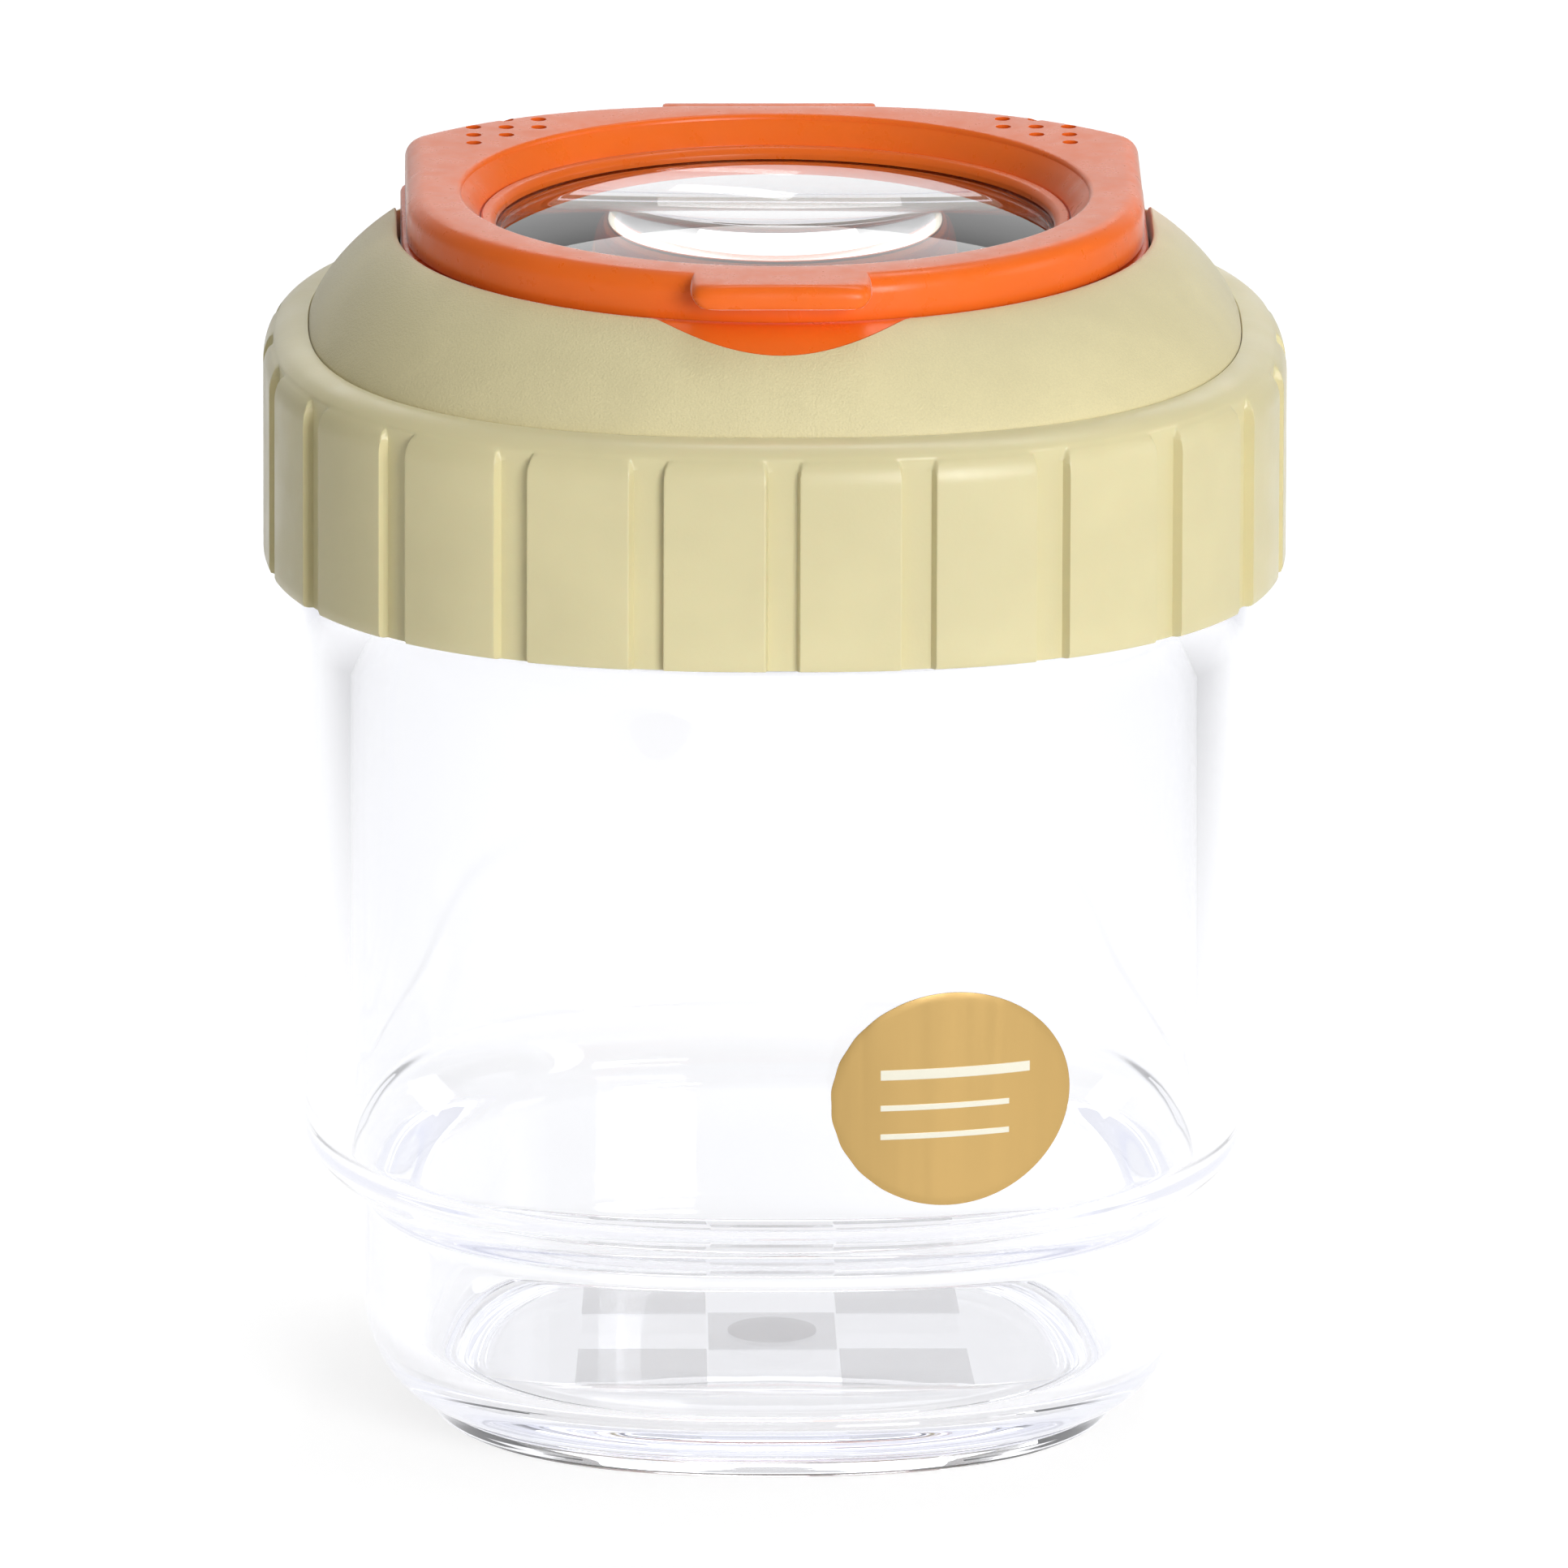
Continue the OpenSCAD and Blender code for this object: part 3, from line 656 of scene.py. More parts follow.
class Growth(Wiring):
    """A geometry node tree with named inputs, ending in Realize Instances and Set Material."""

    def __init__(self, name, inputs):
        super().__init__(bpy.data.node_groups.new(name, "GeometryNodeTree"))
        face = self.tree.interface
        face.new_socket("Geometry", in_out="INPUT", socket_type="NodeSocketGeometry")
        self.ids = {}
        for label, kind, value in inputs:
            socket = face.new_socket(label, in_out="INPUT", socket_type=kind)
            if value is not None:
                socket.default_value = value
            self.ids[label] = socket.identifier
        face.new_socket("Geometry", in_out="OUTPUT", socket_type="NodeSocketGeometry")
        self.source = self.tree.nodes.new("NodeGroupInput")

    def given(self, label):
        return self.source.outputs[label]

    def length(self, x, y):
        """Length of a vector of two parts."""
        return self.math("SQRT", self.math("ADD", self.math("MULTIPLY", x, x), self.math("MULTIPLY", y, y)))

    def vector(self, x, y, z):
        return self.add("ShaderNodeCombineXYZ", {"X": x, "Y": y, "Z": z}).outputs[0]

    def finish(self, geometry, material):
        real = self.add("GeometryNodeRealizeInstances", {"Geometry": geometry})
        coat = self.add("GeometryNodeSetMaterial", {"Geometry": real.outputs[0], "Material": material})
        out = self.tree.nodes.new("NodeGroupOutput")
        self.tree.links.new(coat.outputs[0], out.inputs[0])

    def grow(self, obj, values=None, angle=35):
        """Runs the tree on a piece and keeps the result as a plain mesh."""
        mod = obj.modifiers.new(self.tree.name, "NODES")
        mod.node_group = self.tree
        for label, value in (values or {}).items():
            mod[self.ids[label]] = value
        return settle(obj, angle)


# Pieces


class VIEWJAR_OT_clear_jar(bpy.types.Operator):
    """Builds the thick clear jar with its stepped bowl, foot ring and threaded neck"""

    bl_idname = "viewjar.clear_jar"
    bl_label = "Clear Jar"

    def execute(self, context):
        s = context.scene.viewjar_jar
        t = turns(320)
        edge = 0.5 * MM
        hollow = 1.4 * MM
        loops = [squircle(s.foot_half * share, hollow, t) for share in (0.2, 0.55, 0.8)]
        inner = s.foot_half - s.foot_rim
        loops += [squircle(inner - 0.5 * MM, hollow, t), squircle(inner - 0.15 * MM, hollow - 0.25 * MM, t)]
        loops += [squircle(inner, 0.6 * MM, t)]
        for a in np.radians(np.linspace(0, 180, 9)):
            half = (s.foot_rim - 0.4 * MM) / 2
            loops.append(
                squircle(inner + 0.2 * MM + half - half * math.cos(a), 0.5 * MM * (1 - math.sin(a) ** 0.5), t)
            )
        loops.append(squircle(s.foot_half, s.foot_h - 0.7 * MM, t))
        loops.append(squircle(s.foot_half + 0.05 * MM, s.foot_h - 0.2 * MM, t))
        for a in np.radians(np.linspace(4, 90, 18)):
            half = s.foot_half + (s.bowl_half - s.foot_half) * math.sin(a)
            loops.append(squircle(half, s.foot_h + 7.5 * MM * (1 - math.cos(a)), t))
        step_half = s.half_w - s.draft
        for share in np.linspace(0, 0.9, 5):
            z = s.foot_h + 8 * MM + (s.step_z - s.flare_h - s.foot_h - 8 * MM) * share
            loops.append(squircle(s.bowl_half, z, t))
        for share in np.linspace(0, 1, 30):
            half = s.bowl_half + (step_half - s.bowl_half) * ease(share)
            loops.append(squircle(half, s.step_z - s.flare_h * (1 - share), t))
        for share in np.linspace(0.02, 1, 12):
            half = step_half + s.draft * share
            loops.append(squircle(half, s.step_z + (s.shoulder_z - edge - s.step_z) * share, t))
        loops.append(squircle(s.half_w - edge * 0.3, s.shoulder_z - edge * 0.3, t))
        loops.append(squircle(s.half_w - edge, s.shoulder_z, t))
        low, high = s.shoulder_z + 0.4 * MM, RIM_Z - 1.0 * MM
        loops.append(round_loop(s.neck_r, s.shoulder_z, t))
        for z in np.linspace(low, high, 48):
            fade = min(1.0, (z - low) / (1.5 * MM), (high - z) / (1.5 * MM))
            loops.append(round_loop(s.neck_r, z, t) + ridge_out(t, z, s, 0.0, fade))
        for a in np.radians(np.linspace(0, 90, 5)):
            r = 0.6 * MM
            loops.append(round_loop(s.neck_r - r * (1 - math.cos(a)), RIM_Z - r * (1 - math.sin(a)), t))
        cavity, low_cavity = s.half_w - s.wall, s.bowl_half - s.wall
        for a in np.radians(np.linspace(90, 0, 5)):
            r = 0.8 * MM
            loops.append(squircle(cavity + r * (1 - math.cos(a)), RIM_Z - r * (1 - math.sin(a)), t))
        for z in np.linspace(RIM_Z - 4 * MM, s.step_z + 3 * MM, 14):
            loops.append(squircle(cavity, z, t))
        for share in np.linspace(1, 0, 30):
            half = low_cavity + (cavity - low_cavity) * ease(share)
            loops.append(squircle(half, s.step_z + edge - s.flare_h * (1 - share), t))
        for z in np.linspace(s.step_z - s.flare_h - 0.5 * MM, s.floor_z + s.floor_round + 0.5 * MM, 5):
            loops.append(squircle(low_cavity, z, t))
        for a in np.radians(np.linspace(90, 0, 12)):
            r = s.floor_round
            loops.append(squircle(low_cavity - r * (1 - math.sin(a)), s.floor_z + r * (1 - math.cos(a)), t))
        loops += [squircle(low_cavity * share, s.floor_z, t) for share in (0.7, 0.4, 0.15)]
        jar = skin("clear_jar", loops, closed=False)
        settle(jar, 60)
        material = clear_plastic("clear_jar_plastic", tuple(s.clear), 0.03 * MM, tuple(s.depth))
        dress(jar, material, "jar", "clear_plastic", "jar_body")
        return {"FINISHED"}


def ridge_out(t, z, settings, phase, fade):
    """Outward step of the thread ridges at angle t and height z."""
    turn = settings.starts * (t / (2 * math.pi) - z / settings.thread_lead) + phase
    wave = 0.5 + 0.5 * np.cos(2 * math.pi * turn)
    height = settings.thread_h * fade * np.clip((wave - 0.72) / 0.16, 0, 1)
    return np.stack([height * np.cos(t), height * np.sin(t), np.zeros_like(t)], axis=1)


class VIEWJAR_OT_measuring_squares(bpy.types.Operator):
    """Sets the frosted measuring squares and the moulding mark into the jar's floor"""

    bl_idname = "viewjar.measuring_squares"
    bl_label = "Measuring Squares"

    def execute(self, context):
        s = context.scene.viewjar_squares
        floor_z = context.scene.viewjar_jar.floor_z
        material = frosted_plastic(tuple(s.frosted))
        tree = Growth(
            "measuring_squares",
            [
                ("Cell", "NodeSocketFloat", 0.01),
                ("Count", "NodeSocketInt", 3),
                ("Tile", "NodeSocketObject", None),
            ],
        )
        count = tree.given("Count")
        span = tree.math("MULTIPLY", tree.given("Cell"), tree.math("SUBTRACT", count, 1.0))
        grid = tree.add(
            "GeometryNodeMeshGrid", {"Size X": span, "Size Y": span, "Vertices X": count, "Vertices Y": count}
        )
        odd = tree.math("MODULO", tree.add("GeometryNodeInputIndex").outputs[0], 2.0)
        even = tree.add("FunctionNodeCompare", data_type="FLOAT", operation="LESS_THAN")
        tree.feed(even.inputs[0], odd)
        tree.feed(even.inputs[1], 0.5)
        tile = tree.add("GeometryNodeObjectInfo", {"Object": tree.given("Tile")})
        placed = tree.add(
            "GeometryNodeInstanceOnPoints",
            {"Points": grid.outputs[0], "Selection": even.outputs[0], "Instance": tile.outputs["Geometry"]},
        )
        tree.finish(placed.outputs[0], material)
        half = (s.cell - s.gap) / 2
        top, sink = floor_z + s.height, 0.05 * MM
        tile_shape = block("tile", (-half, -half, floor_z - sink), (half, half, top), 0.04 * MM, 2)
        squares = link(bpy.data.meshes.new("measuring_squares"), "measuring_squares")
        tree.grow(squares, {"Cell": s.cell, "Tile": tile_shape})
        bpy.data.objects.remove(tile_shape)
        dress(squares, material, "jar", "clear_plastic")
        loops = stack(
            round_loop, turns(72),
            (s.mark_r, top - 0.03 * MM), (s.mark_r, top + 0.09 * MM),
            (s.mark_r - 0.25 * MM, top + 0.15 * MM), (s.mark_r * 0.5, top + 0.13 * MM),
        )
        mark = settle(skin("moulding_mark", loops, closed=False), 40)
        dress(mark, material, "jar", "clear_plastic")
        return {"FINISHED"}


class VIEWJAR_OT_label(bpy.types.Operator):
    """Lays the oval label on the front of the jar"""

    bl_idname = "viewjar.label"
    bl_label = "Label"

    def execute(self, context):
        s, jar = context.scene.viewjar_label, context.scene.viewjar_jar
        t = turns(180)
        under, over = 0.12 * MM, 0.3 * MM
        ragged = 1 + 0.004 * np.sin(23 * t + 1) * np.clip(-np.cos(t), 0, 1) ** 2

        def patch(share, out):
            x = s.centre_x + share * ragged * s.half_w * np.cos(t)
            z = s.centre_z + share * ragged * s.half_h * np.sin(t)
            half = jar.half_w - jar.draft * (1 - (z - jar.step_z) / (jar.shoulder_z - jar.step_z))
            y = -half * (1 - (np.abs(x) / half) ** PLAN_POWER) ** (1 / PLAN_POWER) - out
            return np.stack([x, y, z], axis=1)

        shares = np.linspace(0.04, 0.99, 14)
        loops = [patch(share, under) for share in shares] + [patch(1.0, under + 0.03 * MM)]
        loops += [patch(1.0, over - 0.04 * MM)] + [patch(share, over) for share in shares[::-1]]
        label = settle(skin("jar_label_print", loops, closed=False), 50)
        dress(label, label_print(s), "jar", "gold_paper", "jar_label")
        return {"FINISHED"}


class VIEWJAR_OT_screw_ring(bpy.types.Operator):
    """Builds the ribbed screw ring: a smooth squircle ring whose grip grooves are cut by geometry nodes"""

    bl_idname = "viewjar.screw_ring"
    bl_label = "Screw Ring"

    def execute(self, context):
        s, jar = context.scene.viewjar_ring, context.scene.viewjar_jar
        share = s.groove_share / 2
        side = 0.075
        local = np.concatenate(
            [
                np.linspace(-share, share, 6)[1:-1],
                share + np.linspace(0, side, 10),
                np.linspace(share + side, 1 - share - side, 8)[1:-1],
                1 - share - np.linspace(side, 0, 10),
            ]
        )
        steps = (np.arange(s.pads)[:, None] + np.sort(local)[None, :]).ravel()
        t = steps * 2 * math.pi / s.pads - math.pi / 2
        outer = s.floor_half + s.proud
        width = outer - s.land_half
        bore = 42.9 * MM
        hole = 33.8 * MM
        flange_z, seat_z = CREASE_Z - 4.3 * MM, CREASE_Z - 1.8 * MM
        seat = s.land_half - 0.4 * MM
        loops = stack(
            squircle, t, (outer - 0.9 * MM, RING_Z), (outer - 0.5 * MM, RING_Z),
            (outer - 0.15 * MM, RING_Z + 0.12 * MM), (outer, RING_Z + 0.5 * MM),
        )
        upright = CREASE_Z - s.shoulder_h
        loops += [squircle(outer, z, t) for z in np.linspace(RING_Z + 1.2 * MM, upright - 0.5 * MM, 12)]
        for a in np.radians(np.linspace(0, 90, 26)):
            loops.append(squircle(outer - width * (1 - math.cos(a)), upright + s.shoulder_h * math.sin(a), t))
        loops += stack(
            squircle, t,
            (seat + 0.08 * MM, CREASE_Z - 0.02 * MM), (seat, CREASE_Z - 0.15 * MM), (seat, seat_z),
        )
        loops += stack(
            round_loop, t, (hole + 0.3 * MM, seat_z), (hole, seat_z),
            (hole, flange_z), (hole + 0.3 * MM, flange_z), (bore, flange_z),
        )
        low, high = RING_Z + 0.8 * MM, flange_z - 0.6 * MM
        for z in np.linspace(high, low, 30):
            fade = min(1.0, (z - low) / (1.5 * MM), (high - z) / (1.5 * MM))
            loops.append(round_loop(bore, z, t) - ridge_out(t, z, jar, 0.5, fade))
        loops += stack(round_loop, t, (bore, RING_Z + 0.4 * MM), (bore + 0.2 * MM, RING_Z))
        ring = skin("ribbed_ring", loops, closed=True)
        material = satin_plastic(tuple(s.beige))
        tree = grip_grooves(material)
        tree.grow(
            ring,
            {
                "Pads": s.pads,
                "Groove Share": s.groove_share,
                "Floor Half Width": s.floor_half,
                "Corner Radius": s.corner_r,
                "Edge Radius": s.edge_r,
                "Ledge Height": upright + s.shoulder_h * math.sin(math.acos(1 - s.proud / width)),
            },
            40,
        )
        dress(ring, material, "lid", "beige_plastic", "screw_ring")
        return {"FINISHED"}


def grip_grooves(material):
    """Tree that presses upright grooves into a ring: between pads, its outside sinks to the groove floor."""
    tree = Growth(
        "grip_grooves",
        [
            ("Pads", "NodeSocketInt", 24),
            ("Groove Share", "NodeSocketFloat", 0.2),
            ("Floor Half Width", "NodeSocketFloat", 0.04),
            ("Corner Radius", "NodeSocketFloat", 0.001),
            ("Edge Radius", "NodeSocketFloat", 0.0005),
            ("Ledge Height", "NodeSocketFloat", 0.09),
        ],
    )
    x, y, z = tree.axes(tree.add("GeometryNodeInputPosition").outputs[0])
    angle = tree.math("ARCTAN2", y, x)
    radius = tree.length(x, y)
    powered = [
        tree.math("POWER", tree.math("ABSOLUTE", tree.math(side, angle)), PLAN_POWER)
        for side in ("COSINE", "SINE")
    ]
    stretch = tree.math("POWER", tree.math("ADD", *powered), -1 / PLAN_POWER)
    half = tree.math("DIVIDE", radius, stretch)
    proud = tree.math("MAXIMUM", tree.math("SUBTRACT", half, tree.given("Floor Half Width")), 0.0)
    # Distance along the rim from the middle of the nearest pad, and from its edge
    pitch = tree.math("DIVIDE", 2 * math.pi, tree.given("Pads"))
    turned = tree.math("ADD", angle, math.pi / 2 + 2 * math.pi)
    cell = tree.math("FRACT", tree.math("DIVIDE", turned, pitch))
    aside = tree.math("ABSOLUTE", tree.math("SUBTRACT", cell, 0.5))
    arc = tree.math("MULTIPLY", pitch, radius)
    pad_share = tree.math("SUBTRACT", 0.5, tree.math("DIVIDE", tree.given("Groove Share"), 2.0))
    half_pad = tree.math("MULTIPLY", pad_share, arc)
    out_side = tree.math("SUBTRACT", tree.math("MULTIPLY", aside, arc), half_pad)
    out_top = tree.math("SUBTRACT", z, tree.given("Ledge Height"))
    corner = tree.given("Corner Radius")
    cx = tree.math("MAXIMUM", tree.math("ADD", out_side, corner), 0.0)
    cz = tree.math("MAXIMUM", tree.math("ADD", out_top, corner), 0.0)
    within = tree.math("MINIMUM", tree.math("MAXIMUM", out_side, out_top), 0.0)
    distance = tree.math("SUBTRACT", tree.math("ADD", tree.length(cx, cz), within), corner)
    press = tree.between(distance, tree.math("MULTIPLY", tree.given("Edge Radius"), -1.3), 0.0)
    depth = tree.math("MULTIPLY", tree.math("MULTIPLY", press, proud), stretch)
    inward = tree.math("DIVIDE", tree.math("MULTIPLY", depth, -1.0), radius)
    move = tree.vector(tree.math("MULTIPLY", x, inward), tree.math("MULTIPLY", y, inward), 0.0)
    moved = tree.add("GeometryNodeSetPosition", {"Geometry": tree.given("Geometry"), "Offset": move})
    tree.finish(moved.outputs[0], material)
    return tree


def dome_row(s, t, inset, out):
    """Loop of the dome at a share of the way from its round flat top (0) to its rounded square crease (1)."""
    top = COVER_R + s.slot + s.landing
    radius = top + (s.half * reach(t) - top) * out - inset
    return loop(radius, CREASE_Z + (LANDING_Z - CREASE_Z - inset) * (1 - out**s.power) ** (1 / s.power), t)


def dome_rows(s, t, inset, radius=0.0):
    """Loops of the dome from the crease up to a radius, or to its flat top."""
    top = COVER_R + s.slot + s.landing
    last = np.clip((radius + inset - top) / (s.half * reach(t) - top), 0, 1)
    turn = np.arccos(last ** (s.power / 2))
    return [dome_row(s, t, inset, np.cos(turn * share) ** (2 / s.power)) for share in np.linspace(0, 1, 34)]


class VIEWJAR_OT_dome(bpy.types.Operator):
    """Builds the grained dome with the flip cover's slot, the tongue's place and the hinge notch"""

    bl_idname = "viewjar.dome"
    bl_label = "Dome"

    def execute(self, context):
        s = context.scene.viewjar_dome
        t = cover_turns(288)
        low = DOME_LOW.z
        edge = 0.16 * MM
        rim = cover_reach(t, s.slot + edge)
        outer, inner = dome_rows(s, t, 0.0, rim), dome_rows(s, t, s.wall, cover_reach(t, s.slot))
        loops = [loop(s.half * reach(t), z, t) for z in (low, CREASE_Z - 0.6 * MM)] + outer
        for out, drop in ((1.0, 0.0), (0.3, 0.3), (0.0, 1.0)):
            loops.append(cover_loop(s.slot + edge * out, outer[-1][:, 2] - edge * drop, t))
        loops += [cover_loop(s.slot, inner[-1][:, 2], t)] + inner[::-1]
        loops += [loop(s.half * reach(t) - s.wall, low, t)]
        dome = skin("grained_dome", loops, closed=True)
        combine(dome, tongue_column("tongue_space", 0.2 * MM, low - 1 * MM, LANDING_Z + 2 * MM), "DIFFERENCE")
        c = context.scene.viewjar_cover
        wide = c.barrel_w / 2 + EAR_GAP + EAR_W + 0.4 * MM
        back = HINGE_Y + c.barrel_r + 0.4 * MM
        notch = block("hinge_space", (-wide, 0, low - 1 * MM), (wide, back, LANDING_Z + 2 * MM), 0)
        combine(dome, notch, "DIFFERENCE")
        dress(dome, grained_plastic(tuple(s.beige)), "lid", "grained_plastic", "dome_cover")
        return {"FINISHED"}


def column(name, shape, size, count, low, high, centre=(0, 0, 0)):
    """Upright column of one shape, used to cut or to trim a piece."""
    loops = stack(shape, turns(count), (size, low), (size, high))
    return skin(name, [row + np.array(centre) for row in loops], closed=False)


def tongue_column(name, grow, low, high):
    return column(name, round_loop, TONGUE_R + grow, 160, low, high, (0, TONGUE_R - COVER_R - TONGUE_OUT, 0))


class VIEWJAR_OT_lens_frame(bpy.types.Operator):
    """Builds the fixed orange frame with its tongue, lens seat, well and hinge ears"""

    bl_idname = "viewjar.lens_frame"
    bl_label = "Lens Frame"

    def execute(self, context):
        c = context.scene.viewjar_cover
        t = cover_turns(240)
        base = FRAME_Z
        top = COVER_WALL_Z - 0.3 * MM
        wall = 2 * MM
        well_z = 100.35 * MM
        seat_z = well_z - 1.2 * MM
        seat_r = RIM_R + 0.15 * MM
        well_r, barrel_r = 27.85 * MM, 29.35 * MM
        flange_r = 38.65 * MM
        loops = stack(
            round_loop, t, (flange_r - 0.2 * MM, base), (flange_r, base + 0.2 * MM),
            (flange_r, base + 1.8 * MM), (flange_r - 0.2 * MM, base + 2 * MM),
        )
        loops += stack(
            cover_loop, t, (0.6 * MM, base + 2 * MM), (0.4 * MM, base + 2.2 * MM),
            (0.4 * MM, top - 0.3 * MM), (0.3 * MM, top - 0.08 * MM), (0.1 * MM, top),
        )
        loops += stack(
            round_loop, t, (well_r + 0.3 * MM, top), (well_r + 0.08 * MM, top - 0.08 * MM),
            (well_r, top - 0.3 * MM), (well_r, well_z + 0.3 * MM), (well_r - 0.3 * MM, well_z),
            (LENS_R + 0.2 * MM, well_z), (LENS_R, well_z - 0.2 * MM), (LENS_R, seat_z),
            (seat_r, seat_z), (seat_r, base), (barrel_r, base), (barrel_r, top - wall),
        )
        loops += stack(cover_loop, t, (0.4 * MM - wall, top - wall), (0.4 * MM - wall, base))
        body = skin("lens_frame_body", loops, closed=True)
        fine = turns(288)
        dome = context.scene.viewjar_dome
        lowest = loop(dome.half * reach(fine) - 0.1 * MM, base + 0.5 * MM, fine)
        tongue = skin("tongue", [lowest] + dome_rows(dome, fine, 0.1 * MM), closed=False)
        combine(tongue, tongue_column("tongue_plan", 0.0, base + 0.6 * MM, LANDING_Z + 2 * MM), "INTERSECT")
        # The cuts stay clear of the frame's own faces, because faces that lie in one plane leave open seams
        room_z = top - 0.04 * MM
        above = column("cover_room", cover_loop, 0.33 * MM, 246, room_z, LANDING_Z + 2 * MM)
        combine(tongue, above, "DIFFERENCE")
        inside = column("well_room", round_loop, well_r + 1 * MM, 246, base, LANDING_Z + 3 * MM)
        combine(tongue, inside, "DIFFERENCE")
        combine(body, tongue, "UNION")
        ear_in = c.barrel_w / 2 + EAR_GAP
        ear_out = ear_in + EAR_W
        bridge_top = HINGE_Z - c.barrel_r - 0.3 * MM
        low, high = (-ear_out, 28 * MM, base + 0.3 * MM), (ear_out, HINGE_Y + c.barrel_r, bridge_top)
        bridge = block("hinge_bridge", low, high, 0.25 * MM)
        combine(body, bridge, "UNION")
        for side in (-1, 1):
            middle = side * (ear_in + ear_out) / 2
            ear = hinge_ear(middle, EAR_W - 0.1 * MM, c.barrel_r - 0.43 * MM, base + 0.67 * MM)
            combine(body, ear, "UNION")
        bore = rod("pin_room", PIN_R + 0.04 * MM, ear_out + 2 * MM, 0.01 * MM, (0, HINGE_Y, HINGE_Z))
        combine(body, bore, "DIFFERENCE")
        material = orange_plastic("orange_frame", tuple(c.orange), 0.01 * MM)
        air_holes(body, material, top - wall - 1 * MM, top + 1 * MM)
        dress(body, material, "lid", "orange_plastic", "lens_frame")
        return {"FINISHED"}


def hinge_ear(x, width, radius, low):
    """Upright ear with a round head and softened rims."""
    outline = [(-radius, low - HINGE_Z), (radius, low - HINGE_Z)]
    outline += [(radius * math.cos(a), radius * math.sin(a)) for a in np.linspace(0, math.pi, 33)]
    bm = bmesh.new()
    face = bm.faces.new([bm.verts.new((x - width / 2, HINGE_Y + y, HINGE_Z + z)) for y, z in outline])
    made = bmesh.ops.extrude_face_region(bm, geom=[face])
    moved = [g for g in made["geom"] if isinstance(g, bmesh.types.BMVert)]
    bmesh.ops.translate(bm, verts=moved, vec=(width, 0, 0))
    rims = [e for e in bm.edges if len({round(v.co.x, 6) for v in e.verts}) == 1 and e.calc_length() < radius]
    bmesh.ops.bevel(bm, geom=rims, offset=0.3 * MM, segments=3, profile=0.5, affect="EDGES")
    mesh = bpy.data.meshes.new("hinge_ear")
    bm.to_mesh(mesh)
    bm.free()
    obj = link(mesh, "hinge_ear")
    face_out(obj)
    return obj


def air_holes(obj, material, low, high):
    """Bores the air holes of both rear corners through a piece, with geometry nodes."""
    s = bpy.context.scene.viewjar_cover
    first_x = COVER_R - s.wall - s.hole_r * 2 - AIR_SIDE_STEPS * s.hole_pitch
    first_y = COVER_REAR - s.wall - s.hole_r * 2 - AIR_REAR_STEPS * s.hole_pitch
    spots = [
        (side * (first_x + i * s.hole_pitch), first_y + j * s.hole_pitch, (low + high) / 2)
        for side in (-1, 1)
        for i, j in AIR_SPOTS
    ]
    mesh = bpy.data.meshes.new("air_spots")
    mesh.from_pydata(spots, [], [])
    marks = link(mesh, "air_spots")
    tree = Growth(
        "air_holes",
        [
            ("Spots", "NodeSocketObject", None),
            ("Radius", "NodeSocketFloat", 0.001),
            ("Depth", "NodeSocketFloat", 0.004),
        ],
    )
    points = tree.add("GeometryNodeObjectInfo", {"Object": tree.given("Spots")})
    drill = tree.add(
        "GeometryNodeMeshCylinder",
        {"Vertices": 28, "Radius": tree.given("Radius"), "Depth": tree.given("Depth")},
    )
    placed = tree.add(
        "GeometryNodeInstanceOnPoints", {"Points": points.outputs["Geometry"], "Instance": drill.outputs[0]}
    )
    cutters = tree.add("GeometryNodeRealizeInstances", {"Geometry": placed.outputs[0]})
    cut = tree.add("GeometryNodeMeshBoolean", operation="DIFFERENCE", solver="EXACT")
    tree.feed(cut.inputs["Mesh 1"], tree.given("Geometry"))
    tree.feed(cut.inputs["Mesh 2"], cutters.outputs[0])
    tree.finish(cut.outputs[0], material)
    tree.grow(obj, {"Spots": marks, "Radius": s.hole_r, "Depth": high - low})
    bpy.data.objects.remove(marks)
    return obj


